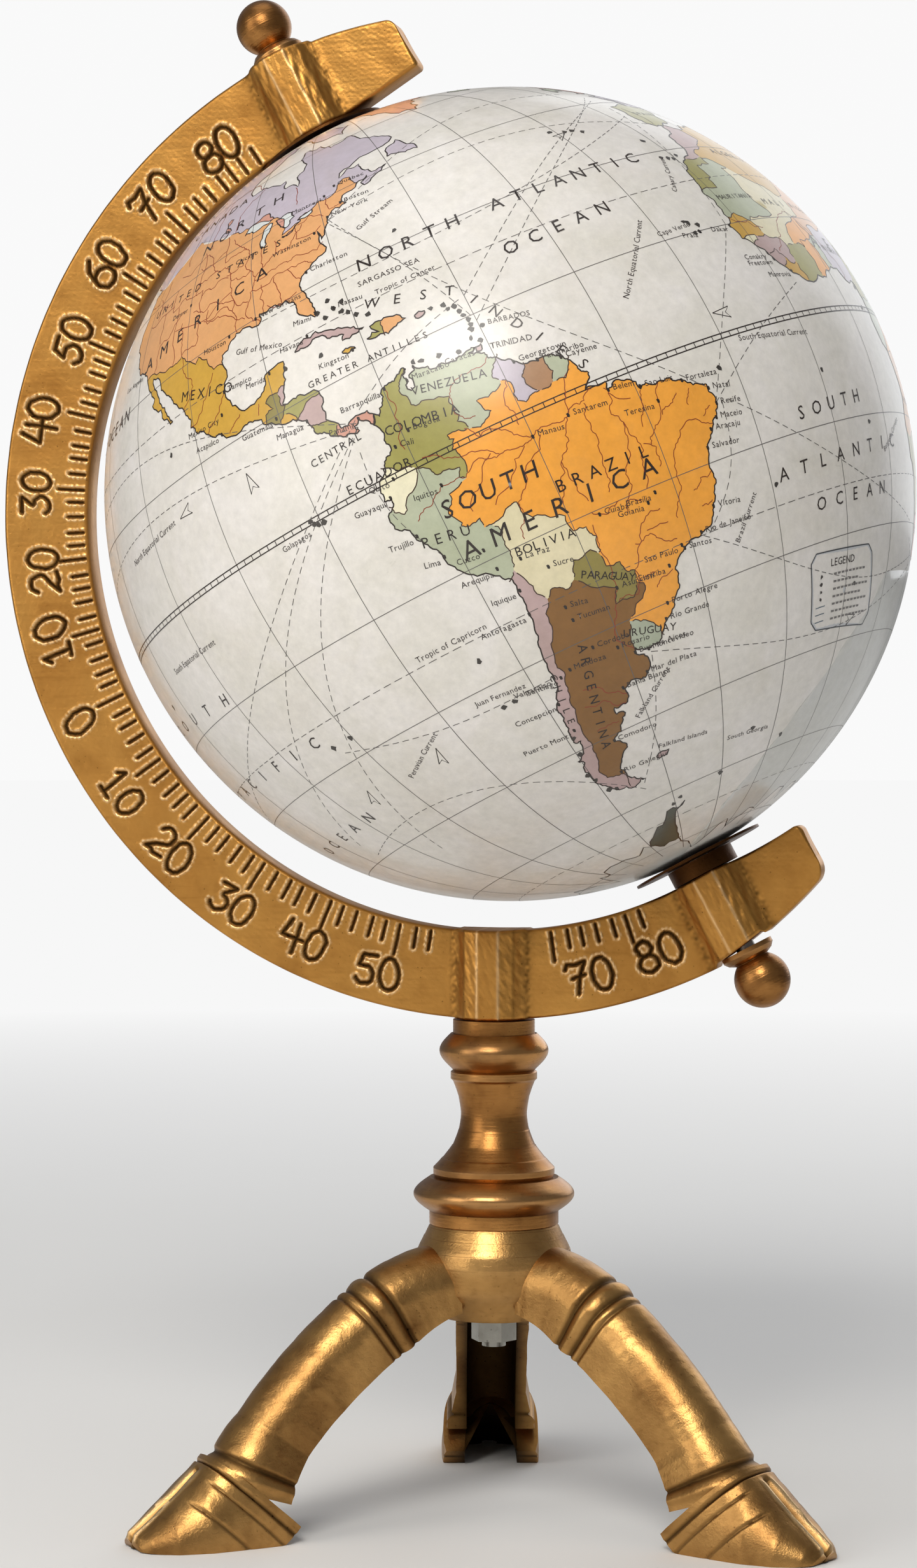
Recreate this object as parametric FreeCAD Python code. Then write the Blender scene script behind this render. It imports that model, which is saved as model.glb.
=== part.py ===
import FreeCAD, Part
import math
import os

os.makedirs("parts", exist_ok=True)
V = FreeCAD.Vector
Z_UP = V(0, 0, 1)

# ---------------------------------------------------------------- driving dimensions, mm
# Frame: +Z up, X along the plane of the meridian arc, -Y the engraved front face.
# Origin: on the pedestal axis, at table height.

# globe and axle
GLOBE_RADIUS = 101.5            # an 8-inch globe, over the paper
PAPER = 0.25
SHELL_WALL = 2.5
GLOBE_X = 4.0
GLOBE_Z = 256.0
AXLE_TILT = 28.0                # degrees from vertical, north end leaning to -X
ROD_RADIUS = 2.5
BUSH_CLEARANCE = 0.08           # running fit between bush and rod, radial
BUSH_RADIUS = 7.0
BUSH_FLANGE_RADIUS = 10.0
BUSH_FLANGE_THICK = 2.5
DISC_RADIUS = 17.0
DISC_THICK = 0.6
RING_HALF_HEIGHT = 6.0
RING_WALL = 1.9

# meridian arc
ARC_OUTER = 127.4
ARC_INNER = 105.2
ARC_THICK = 9.0
ARC_CENTRE_Z = 252.3
BOSS_RADIUS = 9.5
BOSS_FLAT = 9.0                 # half depth over the filed front and back flats
ROD_HOLE_RADIUS = 2.6
NORTH_BOSS = (103.9, 126.6)     # inner and outer end faces, from the globe centre
SOUTH_BOSS = (106.4, 127.6)
FOOT_BOSS = (124.7, 147.4)      # bottom and top of the mounting boss, heights
SPACER_RADIUS = 8.75
NUT_SEAT_RADIUS = 7.3           # spot face under the south ball nut

# degree scale on the front face
SCALE_ZERO = 205.5              # where 0 falls round the arc, degrees from +X
STEP_NORTH = 0.97               # real degrees of arc per scale degree, north half
STEP_SOUTH = 1.04
TICK_DEPTH = 0.5
TICK_WIDTH = 1.0
TICK_INSET = 1.4
TICK_SHORT = 4.4
TICK_LONG = 7.2

# finial nuts
BALL_RADIUS = 7.0
BALL_HEIGHT = 8.7               # ball centre above the boss face
COLLAR_RADIUS = 6.8

# column, hub and stud
STUD_RADIUS = 3.0
BORE_RADIUS = 3.2
COLUMN_TOP = 124.7
COLUMN_FOOT = 73.4
HUB_FOOT = 50.0
WASHER_THICK = 1.2
NUT_THICK = 5.0
NUT_FLATS = 10.0

# legs
LEG_AZIMUTHS = {"leg_left": 218.0, "leg_right": 335.0, "leg_rear": 102.0}
LEG_HALF_WIDTH = 9.75
LEG_SIDE = 9.0                  # straight side below the half-round back
CHANNEL_HALF_WIDTH = 6.5
ROOT_SOLID_TO = 31.0            # the root is solid out to this radius
HOOF_CHANNEL = 7.0
SCREW_HEIGHT = 54.0
SCREW_RADIUS = 2.0
SCREW_HEAD_RADIUS = 3.5
SCREW_HEAD = 2.5
SCREW_TIP = 8.0


# ---------------------------------------------------------------- small helpers
def polyline(points):
    """Straight edges through the points, in order."""
    return [Part.makeLine(a, b) for a, b in zip(points, points[1:])]


def face_of(edges):
    return Part.Face(Part.Wire(edges))


def turned(edges):
    """Solid of revolution about Z from edges in the XZ plane."""
    return face_of(edges).revolve(V(0, 0, 0), Z_UP, 360)


def rz(radius, height):
    return V(radius, 0, height)


def curve(points):
    """Smooth edge through the points."""
    spline = Part.BSplineCurve()
    spline.interpolate(points)
    return spline.toShape()


def drum(radius, low, high):
    """Upright cylinder between two heights."""
    return Part.makeCylinder(radius, high - low, V(0, 0, low))


def on_axle(shape):
    """Carry a shape built about a vertical axis at the globe centre onto the tilted axle."""
    placed = shape.copy()
    placed.rotate(V(0, 0, 0), V(0, 1, 0), -AXLE_TILT)
    placed.translate(V(GLOBE_X, 0, GLOBE_Z))
    return placed


def mirrored_end(shape):
    """The same piece for the south end, turned end for end."""
    other = shape.copy()
    other.rotate(V(0, 0, 0), V(1, 0, 0), 180)
    return other


def save(name, shape):
    shape.exportStep("parts/" + name + ".step")
    print(name, round(shape.Volume, 1), shape.isValid(), len(shape.Solids))


# ---------------------------------------------------------------- meridian arc
def on_arc(radius, angle, depth=0.0):
    a = math.radians(angle)
    return V(radius * math.cos(a), depth, ARC_CENTRE_Z + radius * math.sin(a))


def arc_plate():
    """Flat C-shaped plate with a tapered tip beyond each axle boss."""
    front = -ARC_THICK / 2

    def p(radius, angle):
        return on_arc(radius, angle, front)

    north_tip = [p(ARC_OUTER, 110), p(126.0, 101.2), p(113.4, 99.5), p(ARC_INNER, 114)]
    south_tip = [p(ARC_INNER, -58), p(109.5, -45.2), p(122.8, -46.4), p(ARC_OUTER, -63)]
    edges = [Part.Arc(p(ARC_OUTER, -63), p(ARC_OUTER, 203), p(ARC_OUTER, 110)).toShape()]
    edges += polyline(north_tip)
    edges += [Part.Arc(p(ARC_INNER, 114), p(ARC_INNER, 208), p(ARC_INNER, -58)).toShape()]
    edges += polyline(south_tip)
    plate = face_of(edges).extrude(V(0, ARC_THICK, 0))
    for corner, radius in ((north_tip[1], 3.0), (south_tip[2], 5.0), (south_tip[1], 1.5)):
        upright = [e for e in plate.Edges if is_edge_at(e, corner)]
        plate = plate.makeFillet(radius, upright)
    return plate


def is_edge_at(edge, corner):
    """True for the through-thickness edge that starts or ends at the corner."""
    if len(edge.Vertexes) != 2:
        return False
    a, b = (v.Point for v in edge.Vertexes)
    through = abs(abs(a.y - b.y) - ARC_THICK) < 1e-4
    same = math.hypot(a.x - corner.x, a.z - corner.z) < 1e-4
    return through and same


def filed_boss(low, high):
    """Round boss with a filed flat in front and behind."""
    wide = 4 * BOSS_RADIUS
    slab = Part.makeBox(wide, 2 * BOSS_FLAT, high - low, V(-wide / 2, -BOSS_FLAT, low))
    return drum(BOSS_RADIUS, low, high).common(slab)


def tick(scale_degree, length):
    """Radial slot in the front face."""
    step = STEP_NORTH if scale_degree > 0 else STEP_SOUTH
    angle = SCALE_ZERO - scale_degree * step
    start = ARC_INNER + TICK_INSET
    front = -ARC_THICK / 2 - 1.0
    slot = Part.makeBox(length, TICK_DEPTH + 1.0, TICK_WIDTH, V(start, front, -TICK_WIDTH / 2))
    slot.rotate(V(0, 0, 0), V(0, 1, 0), -angle)
    slot.translate(V(0, 0, ARC_CENTRE_Z))
    return slot


def make_arc():
    north = on_axle(filed_boss(*NORTH_BOSS))
    south = on_axle(filed_boss(-SOUTH_BOSS[1], -SOUTH_BOSS[0]))
    foot = filed_boss(*FOOT_BOSS)
    arc = arc_plate().multiFuse([north, south, foot]).removeSplitter()
    ticks = []
    for degree in range(-82, 85, 2):
        if -68 <= degree <= -56:
            continue                       # the mounting boss stands here
        ticks.append(tick(degree, TICK_LONG if degree % 10 == 0 else TICK_SHORT))
    rod_hole = on_axle(drum(ROD_HOLE_RADIUS, -150, 150))
    stud_hole = drum(STUD_RADIUS, FOOT_BOSS[0] - 1, FOOT_BOSS[0] + 14)
    globe_room = on_axle(drum(DISC_RADIUS + 1.0, -104.3, 103.0))
    spacer_seat = on_axle(drum(SPACER_RADIUS + 0.5, -SOUTH_BOSS[0], -SOUTH_BOSS[0] + 1.9))
    nut_seat = on_axle(drum(NUT_SEAT_RADIUS, -SOUTH_BOSS[1] - 5.0, -SOUTH_BOSS[1]))
    arc = arc.cut(Part.makeCompound(ticks + [rod_hole, stud_hole, globe_room]))
    return arc.cut(Part.makeCompound([spacer_seat, nut_seat]))


# ---------------------------------------------------------------- axle, finials, spacer
def make_finial(face):
    """Ball nut: flared collar against the boss, short neck, ball; blind bore for the rod."""
    collar = turned(polyline([rz(0, face), rz(COLLAR_RADIUS, face), rz(COLLAR_RADIUS, face + 1.2),
                              rz(5.9, face + 2.3), rz(4.3, face + 3.1), rz(0, face + 3.1),
                              rz(0, face)]))
    knob = Part.makeSphere(BALL_RADIUS, V(0, 0, face + BALL_HEIGHT))
    bore = drum(ROD_RADIUS, face - 1, face + BALL_HEIGHT)
    return collar.fuse(knob).cut(bore)


def make_axle():
    return drum(ROD_RADIUS, -(SOUTH_BOSS[1] + BALL_HEIGHT), NORTH_BOSS[1] + BALL_HEIGHT)


# ---------------------------------------------------------------- globe
def ball(radius):
    return Part.makeSphere(radius)


def half_shell(outer, inner, hole_radius):
    """Northern half of a hollow ball with a hole at the pole."""
    half_space = drum(outer + 5, 0, outer + 5)
    hole = drum(hole_radius, 0, outer + 5)
    return ball(outer).cut(ball(inner)).common(half_space).cut(hole)


SHELL_OUTER = GLOBE_RADIUS - PAPER
SHELL_INNER = SHELL_OUTER - SHELL_WALL


def make_bush():
    """Flanged plug: the flange bears on the inside of the shell, the bore runs on the rod."""
    seat = math.sqrt(SHELL_INNER ** 2 - BUSH_FLANGE_RADIUS ** 2)
    flange = drum(BUSH_FLANGE_RADIUS, seat - BUSH_FLANGE_THICK, seat)
    plug = drum(BUSH_RADIUS, seat, GLOBE_RADIUS)
    bore = drum(ROD_RADIUS + BUSH_CLEARANCE, 0, GLOBE_RADIUS + 5)
    return flange.fuse(plug).removeSplitter().cut(bore)


def make_joining_ring():
    """Hoop bedded against the inside of both half shells at the equator."""
    band = ball(SHELL_INNER).common(drum(SHELL_INNER + 5, -RING_HALF_HEIGHT, RING_HALF_HEIGHT))
    return band.cut(drum(SHELL_INNER - RING_WALL, -RING_HALF_HEIGHT - 1, RING_HALF_HEIGHT + 1))


def make_disc():
    disc = drum(DISC_RADIUS, GLOBE_RADIUS, GLOBE_RADIUS + DISC_THICK)
    return disc.cut(drum(ROD_RADIUS + 0.5, GLOBE_RADIUS - 1, GLOBE_RADIUS + 2))


# ---------------------------------------------------------------- column and hub
def make_column():
    """Turned column, from the collar under the arc down to the foot band."""
    ring_top = rz(10.9, 121.2)
    ring_foot = rz(10.9, 112.6)
    neck_top = rz(10.3, 109.2)
    lip = rz(15.5, 87.4)
    big_top = rz(16.3, 85.0)
    big_foot = rz(16.3, 76.6)
    profile = polyline([rz(BORE_RADIUS, COLUMN_TOP), rz(10.3, COLUMN_TOP), rz(10.3, 121.2),
                        ring_top])
    profile += [Part.Arc(ring_top, rz(13.75, 117.3), ring_foot).toShape()]
    profile += polyline([ring_foot, rz(10.3, 112.0), rz(10.9, 111.5), rz(10.9, 109.8), neck_top])
    profile += [curve([neck_top, rz(9.0, 105.8), rz(8.2, 101.0), rz(8.8, 97.0), rz(10.4, 93.0),
                       rz(13.0, 89.8), lip])]
    profile += polyline([lip, rz(15.5, 86.0), rz(14.9, 85.0), big_top])
    profile += [Part.Arc(big_top, rz(20.3, 81.2), big_foot).toShape()]
    profile += polyline([big_foot, rz(16.3, COLUMN_FOOT), rz(BORE_RADIUS, COLUMN_FOOT),
                         rz(BORE_RADIUS, COLUMN_TOP)])
    return turned(profile)


def hub_blank():
    shoulder = rz(16.4, 72.6)
    foot = rz(13.6, HUB_FOOT)
    profile = polyline([rz(0, COLUMN_FOOT), rz(15.9, COLUMN_FOOT), shoulder])
    profile += [curve([shoulder, rz(17.6, 70.2), rz(19.6, 67.0), rz(20.0, 63.5), rz(18.0, 57.0),
                       foot])]
    profile += polyline([foot, rz(0, HUB_FOOT), rz(0, COLUMN_FOOT)])
    return turned(profile)


# ---------------------------------------------------------------- legs, built pointing to +X
SPINE = [rz(14.0, 58.7), rz(28.0, 55.2), rz(42.4, 45.0), rz(54.9, 33.5), rz(63.9, 21.8),
         rz(67.6, 10.0)]


def swept(section_edges):
    """Section in the YZ plane (Z is the outer side) carried along the leg's curved spine."""
    spine = Part.Wire([curve(SPINE)])
    edge = spine.Edges[0]
    tangent = edge.tangentAt(edge.FirstParameter)
    pitch = math.degrees(math.atan2(tangent.z, tangent.x))
    wire = Part.Wire(section_edges)
    wire.rotate(V(0, 0, 0), V(0, 1, 0), -pitch)
    wire.translate(SPINE[0])
    pipe = Part.BRepOffsetAPI.MakePipeShell(spine)
    pipe.setBiNormalMode(V(0, 1, 0))
    pipe.add(wire)
    pipe.build()
    pipe.makeSolid()
    return pipe.shape()


def u_section(half_width, side):
    """Half-round outer side on straight flanks, closed across the open side."""
    left_top = V(0, -half_width, 0)
    right_top = V(0, half_width, 0)
    left_foot = V(0, -half_width, -side)
    right_foot = V(0, half_width, -side)
    round_side = Part.Arc(left_top, V(0, 0, half_width), right_top).toShape()
    return [round_side] + polyline([right_top, right_foot, left_foot, left_top])


def hoof():
    """Cloven hoof: side outline crossed with plan outline, hollow behind, slotted in front."""
    side = [rz(56.2, 20.0), rz(57.6, 9.0), rz(60.0, 2.2), rz(64.0, 0), rz(95.0, 0), rz(98.6, 1.6),
            rz(98.4, 3.2), rz(90.7, 8.8), rz(81.9, 16.8), rz(77.0, 19.0), rz(72.0, 24.0),
            rz(56.2, 20.0)]
    body = face_of(polyline(side)).extrude(V(0, 40, 0))
    body.translate(V(0, -20, 0))
    half = [(56.0, 10.6), (60.0, 12.8), (70.0, 13.3), (82.0, 13.4), (90.0, 11.5), (96.0, 7.5),
            (98.8, 3.5)]
    plan = [V(r, b, -1) for r, b in half] + [V(r, -b, -1) for r, b in reversed(half)]
    plan.append(plan[0])
    body = body.common(face_of(polyline(plan)).extrude(V(0, 0, 30)))
    hollow = [rz(50, -1), rz(88.0, -1), rz(85.0, 5.0), rz(77.0, 12.0), rz(50, 12.0), rz(50, -1)]
    inside = face_of(polyline(hollow)).extrude(V(0, 2 * HOOF_CHANNEL, 0))
    inside.translate(V(0, -HOOF_CHANNEL, 0))
    cleft = Part.makeBox(26, 1.6, 6, V(80, -0.8, 0))
    cleft.rotate(V(82, 0, 16), V(0, 1, 0), 40)
    cleft.translate(V(0, 0, 11.5))
    return body, inside, cleft


def leg_blank(hub):
    body, inside, cleft = hoof()
    outer = swept(u_section(LEG_HALF_WIDTH, LEG_SIDE)).fuse(body)
    channel = swept(u_section(CHANNEL_HALF_WIDTH, LEG_SIDE + 4))
    root = Part.makeBox(ROOT_SOLID_TO, 60, 100, V(0, -30, 0))
    channel = channel.cut(root)
    screw_hole = Part.makeCylinder(SCREW_RADIUS, 40, V(0, 0, SCREW_HEIGHT), V(1, 0, 0))
    below_table = Part.makeBox(200, 100, 20, V(0, -50, -20))
    return outer.cut(Part.makeCompound([channel])).cut(inside).cut(hub).cut(screw_hole).cut(below_table)


def make_screw():
    shank = Part.makeCylinder(SCREW_RADIUS, ROOT_SOLID_TO - SCREW_TIP, V(SCREW_TIP, 0, SCREW_HEIGHT),
                              V(1, 0, 0))
    head = Part.makeCylinder(SCREW_HEAD_RADIUS, SCREW_HEAD, V(ROOT_SOLID_TO, 0, SCREW_HEIGHT),
                             V(1, 0, 0))
    return shank.fuse(head).removeSplitter()


def turned_to(shape, azimuth):
    placed = shape.copy()
    placed.rotate(V(0, 0, 0), Z_UP, azimuth)
    return placed


# ---------------------------------------------------------------- make and save every piece
save("meridian_arc", make_arc())

save("axle_rod", on_axle(make_axle()))
save("finial_north", on_axle(make_finial(NORTH_BOSS[1])))
save("finial_south", on_axle(mirrored_end(make_finial(SOUTH_BOSS[1]))))
spacer_low = GLOBE_RADIUS + DISC_THICK + 0.3
spacer = drum(SPACER_RADIUS, spacer_low, SOUTH_BOSS[0])
spacer = spacer.cut(drum(ROD_RADIUS, spacer_low - 1, SOUTH_BOSS[0] + 1))
save("south_spacer", on_axle(mirrored_end(spacer)))

shell = half_shell(SHELL_OUTER, SHELL_INNER, BUSH_RADIUS)
paper = half_shell(GLOBE_RADIUS, SHELL_OUTER, BUSH_RADIUS)
for node, piece in (("shell", shell), ("map", paper), ("bush", make_bush()), ("pole_disc", make_disc())):
    save(node + "_north", on_axle(piece))
    save(node + "_south", on_axle(mirrored_end(piece)))
save("joining_ring", on_axle(make_joining_ring()))

save("column", make_column())
hub_solid = hub_blank()
stud_bore = drum(STUD_RADIUS, HUB_FOOT - 1, COLUMN_FOOT + 1)
screws = [turned_to(make_screw(), azimuth) for azimuth in LEG_AZIMUTHS.values()]
save("tripod_hub", hub_solid.cut(stud_bore).cut(Part.makeCompound(screws)))
save("leg_screws", Part.makeCompound(screws))
leg = leg_blank(hub_solid)
for node, azimuth in LEG_AZIMUTHS.items():
    save(node, turned_to(leg, azimuth))

washer_low = HUB_FOOT - WASHER_THICK
nut_low = washer_low - NUT_THICK
save("centre_stud", drum(STUD_RADIUS, nut_low - 1.5, FOOT_BOSS[0] + 13))
save("stud_washer", drum(7.0, washer_low, HUB_FOOT).cut(drum(STUD_RADIUS, washer_low - 1, HUB_FOOT + 1)))
corner_radius = NUT_FLATS / math.sqrt(3)
corners = [V(corner_radius * math.cos(math.radians(60 * i)),
             corner_radius * math.sin(math.radians(60 * i)), nut_low) for i in range(7)]
nut = face_of(polyline(corners)).extrude(V(0, 0, NUT_THICK))
save("stud_nut", nut.cut(drum(STUD_RADIUS, nut_low - 1, washer_low + 1)))
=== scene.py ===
import math

import bmesh
import bpy
import numpy as np
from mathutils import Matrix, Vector
from mathutils.geometry import delaunay_2d_cdt


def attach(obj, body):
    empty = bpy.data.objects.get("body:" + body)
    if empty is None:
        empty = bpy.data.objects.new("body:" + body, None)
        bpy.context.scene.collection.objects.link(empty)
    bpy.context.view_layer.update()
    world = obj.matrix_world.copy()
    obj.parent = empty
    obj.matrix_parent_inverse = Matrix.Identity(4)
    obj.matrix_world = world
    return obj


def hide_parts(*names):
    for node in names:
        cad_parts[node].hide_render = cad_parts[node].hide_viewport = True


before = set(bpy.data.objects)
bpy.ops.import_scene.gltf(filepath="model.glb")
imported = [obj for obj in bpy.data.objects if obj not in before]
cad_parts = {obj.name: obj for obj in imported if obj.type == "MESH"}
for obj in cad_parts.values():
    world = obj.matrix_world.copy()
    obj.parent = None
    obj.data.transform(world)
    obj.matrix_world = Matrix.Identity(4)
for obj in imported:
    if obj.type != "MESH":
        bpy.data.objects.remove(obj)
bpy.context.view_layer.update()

MM = 0.001
GLOBE_CENTRE = np.array([4.0, 0.0, 256.0])
AXLE_TILT = math.radians(28)
AXLE = np.array([-math.sin(AXLE_TILT), 0.0, math.cos(AXLE_TILT)])
ARC_CENTRE_Z = 252.3


# ------------------------------------------------------------ colours and meshes
def linear(r, g, b):
    """Display colour 0-255 as the linear values a shader takes: a power curve with a short straight foot."""
    c = np.array([r, g, b]) / 255.0
    return tuple(np.where(c < 0.04045, c / 12.92, ((c + 0.055) / 1.055) ** 2.4)) + (1.0,)


def fill_mesh(name, points, faces, sharp=None):
    """A mesh from points in millimetres and rows of corner numbers, shaded smooth, with edges sharper than
    the given angle kept crisp."""
    mesh = bpy.data.meshes.new(name)
    mesh.from_pydata((points * MM).tolist(), [], faces if isinstance(faces, list) else faces.tolist())
    mesh.validate()
    mesh.shade_smooth()
    if sharp:
        mesh.set_sharp_from_angle(angle=math.radians(sharp))
    return mesh


def place(name, mesh, material, body, nodes=()):
    """Puts a finished mesh on its body, in place of the CAD nodes named."""
    piece = bpy.data.objects.new(name, mesh)
    bpy.context.scene.collection.objects.link(piece)
    if not mesh.materials:
        mesh.materials.append(material)
    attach(piece, body)
    if nodes:
        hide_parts(*nodes)
    return piece


def mask(mesh, name, values):
    """One number at each point, for the material to read."""
    layer = mesh.attributes.new(name, "FLOAT", "POINT")
    layer.data.foreach_set("value", np.asarray(values, np.float32).ravel())


def tint(mesh, colours):
    """One colour for each face, written at each of its corners."""
    layer = mesh.color_attributes.new("tint", "FLOAT_COLOR", "CORNER")
    sizes = np.zeros(len(mesh.polygons), np.int32)
    mesh.polygons.foreach_get("loop_total", sizes)
    layer.data.foreach_set("color", np.repeat(np.asarray(colours, np.float32), sizes, axis=0).ravel())


def grid_faces(rows, columns, close_rows=False, close_columns=False, first=0):
    """Quads of a grid numbered row by row; each joins its own corner to the next row's and the next
    column's."""
    i = np.arange(rows if close_rows else rows - 1)[:, None]
    j = np.arange(columns if close_columns else columns - 1)[None, :]
    a = i * columns + j
    b = i * columns + (j + 1) % columns
    c = ((i + 1) % rows) * columns + (j + 1) % columns
    d = ((i + 1) % rows) * columns + j
    return np.stack([a, b, c, d], -1).reshape(-1, 4) + first


def smoothstep(low, high, x):
    """0 below low, 1 above high, and 3t^2 - 2t^3 between."""
    t = np.clip((x - low) / (high - low), 0, 1)
    return t * t * (3 - 2 * t)


def waves(x, y, scale, seed, count=7):
    """Soft seeded unevenness from -1 to 1: the mean of sines that run in random directions with wavelengths
    near scale."""
    rng = np.random.default_rng(seed)
    total = np.zeros_like(x, float)
    for _ in range(count):
        a, k, p = rng.uniform(0, 2 * np.pi), 2 * np.pi / (scale * rng.uniform(0.6, 1.6)), rng.uniform(0,
                6.28)
        total += np.sin(k * (x * np.cos(a) + y * np.sin(a)) + p)
    return total / count ** 0.5 * 0.8


# ------------------------------------------------------------ shader helpers
def group(name, inputs, outputs):
    """An empty shader group with its named sockets: (name, kind, value) in, (name, kind) out."""
    tree = bpy.data.node_groups.new(name, "ShaderNodeTree")
    for label, kind, value in inputs:
        s = tree.interface.new_socket(label, in_out="INPUT", socket_type="NodeSocket" + kind)
        s.default_value = value
    for label, kind in outputs:
        tree.interface.new_socket(label, in_out="OUTPUT", socket_type="NodeSocket" + kind)
    return tree, tree.nodes.new("NodeGroupInput"), tree.nodes.new("NodeGroupOutput")


def node(tree, kind, ins=None, **settings):
    """A shader node with its settings, and its inputs either joined to another socket or given a value."""
    n = tree.nodes.new("ShaderNode" + kind)
    for key, value in settings.items():
        setattr(n, key, value)
    for key, value in (ins or {}).items():
        socket = n.inputs[key]
        if isinstance(value, bpy.types.NodeSocket):
            tree.links.new(value, socket)
        else:
            socket.default_value = value
    return n


def noise(tree, vector, scale, detail=3.0, rough=0.55, distortion=0.0):
    """Fractal noise at a place, from 0 to 1."""
    return node(tree, "TexNoise", {"Vector": vector, "Scale": scale, "Detail": detail, "Roughness": rough,
            "Distortion": distortion}).outputs["Fac"]


def ramp(tree, value, low, high, to_low=0.0, to_high=1.0):
    """Maps low..high to to_low..to_high, held at the ends."""
    return node(tree, "MapRange", {"Value": value, "From Min": low, "From Max": high, "To Min": to_low,
            "To Max": to_high}).outputs["Result"]


def math_node(tree, operation, a, b=0.0, c=0.0):
    """One Math node; MULTIPLY_ADD also takes c."""
    n = node(tree, "Math", {0: a, 1: b}, operation=operation)
    if operation == "MULTIPLY_ADD":
        n.inputs[2].default_value = c if not isinstance(c, bpy.types.NodeSocket) else 0.0
        if isinstance(c, bpy.types.NodeSocket):
            tree.links.new(c, n.inputs[2])
    return n.outputs[0]


def blend_colours(tree, fac, a, b, how="MIX"):
    """Mixes colours a and b by fac; each may be a socket or a plain value."""
    n = node(tree, "Mix", data_type="RGBA", blend_type=how)
    for socket, value in ((n.inputs[0], fac), (n.inputs[6], a), (n.inputs[7], b)):
        if isinstance(value, bpy.types.NodeSocket):
            tree.links.new(value, socket)
        else:
            socket.default_value = value
    return n.outputs[2]


def make_aged_brass():
    """Colour, roughness and height of antiqued cast brass.
    Colour: the bright metal, clouded by a wide noise towards the brown stain, darkened in hollows by
    painted shade and lifted on raised edges by a painted highlight, with fine dark specks.
    Height: cast grain plus long file scratches, which are a noise squeezed along the file's stroke."""
    tree, gi, go = group("aged_brass", [
        ("Bright", "Color", (0.6, 0.36, 0.14, 1)), ("Stain", "Color", (0.2, 0.1, 0.03, 1)),
        ("Deep", "Color", (0.03, 0.014, 0.004, 1)),
        ("Clouding", "Float", 0.5), ("Recess Shade", "Float", 0.0), ("Ridge Highlight", "Float", 0.0),
        ("Grain", "Float", 1.0),
        ("Scratch", "Float", 0.5), ("Stroke", "Vector", (1.0, 1.0, 1.0)), ("Roughness", "Float", 0.36)],
        [("Color", "Color"), ("Roughness", "Float"), ("Height", "Float")])
    where = node(tree, "TexCoord").outputs["Object"]
    cloud = noise(tree, where, 38.0, 4.0, 0.6, 0.4)
    patch = noise(tree, where, 150.0, 3.0, 0.6)
    grain = noise(tree, where, 1500.0, 3.0, 0.65)
    pits = node(tree, "TexVoronoi", {"Vector": where, "Scale": 620.0, "Randomness": 1.0}).outputs["Distance"]
    stretched = node(tree, "VectorMath", {0: where, 1: gi.outputs["Stroke"]},
            operation="MULTIPLY").outputs[0]
    file_marks = noise(tree, stretched, 700.0, 2.0, 0.5, 0.1)
    amount = math_node(tree, "MULTIPLY", ramp(tree, cloud, 0.36, 0.68), gi.outputs["Clouding"])
    amount = math_node(tree, "ADD", amount, math_node(tree, "MULTIPLY", ramp(tree, patch, 0.5, 0.8), 0.25))
    amount = math_node(tree, "ADD", amount, math_node(tree, "MULTIPLY", ramp(tree, file_marks, 0.55, 0.8),
            0.18))
    colour = blend_colours(tree, math_node(tree, "MINIMUM", amount, 0.95), gi.outputs["Bright"],
            gi.outputs["Stain"])
    specks = math_node(tree, "MULTIPLY", ramp(tree, pits, 0.16, 0.05), ramp(tree, patch, 0.45, 0.6))
    # painted shade: the recess mask, added to the fine dark specks, darkens the colour towards Deep
    specks_and_shade = math_node(tree, "MINIMUM", math_node(tree, "ADD", gi.outputs["Recess Shade"],
            math_node(tree, "MULTIPLY", specks, 0.55)), 1.0)
    colour = blend_colours(tree, specks_and_shade, colour, gi.outputs["Deep"])
    # painted highlight: the ridge mask lifts the colour towards a pale gold
    with_highlight = blend_colours(tree, gi.outputs["Ridge Highlight"], colour, (0.93, 0.68, 0.38, 1))
    rough = math_node(tree, "ADD", gi.outputs["Roughness"], ramp(tree, cloud, 0.3, 0.7, -0.05, 0.07))
    rough = math_node(tree, "ADD", rough, math_node(tree, "MULTIPLY", specks_and_shade, 0.22))
    height = math_node(tree, "MULTIPLY", grain, gi.outputs["Grain"])
    height = math_node(tree, "ADD", height, math_node(tree, "MULTIPLY", file_marks, gi.outputs["Scratch"]))
    height = math_node(tree, "ADD", height, math_node(tree, "MULTIPLY", ramp(tree, pits, 0.0, 0.2), 0.35))
    tree.links.new(with_highlight, go.inputs["Color"])
    tree.links.new(rough, go.inputs["Roughness"])
    tree.links.new(height, go.inputs["Height"])
    return tree


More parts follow.
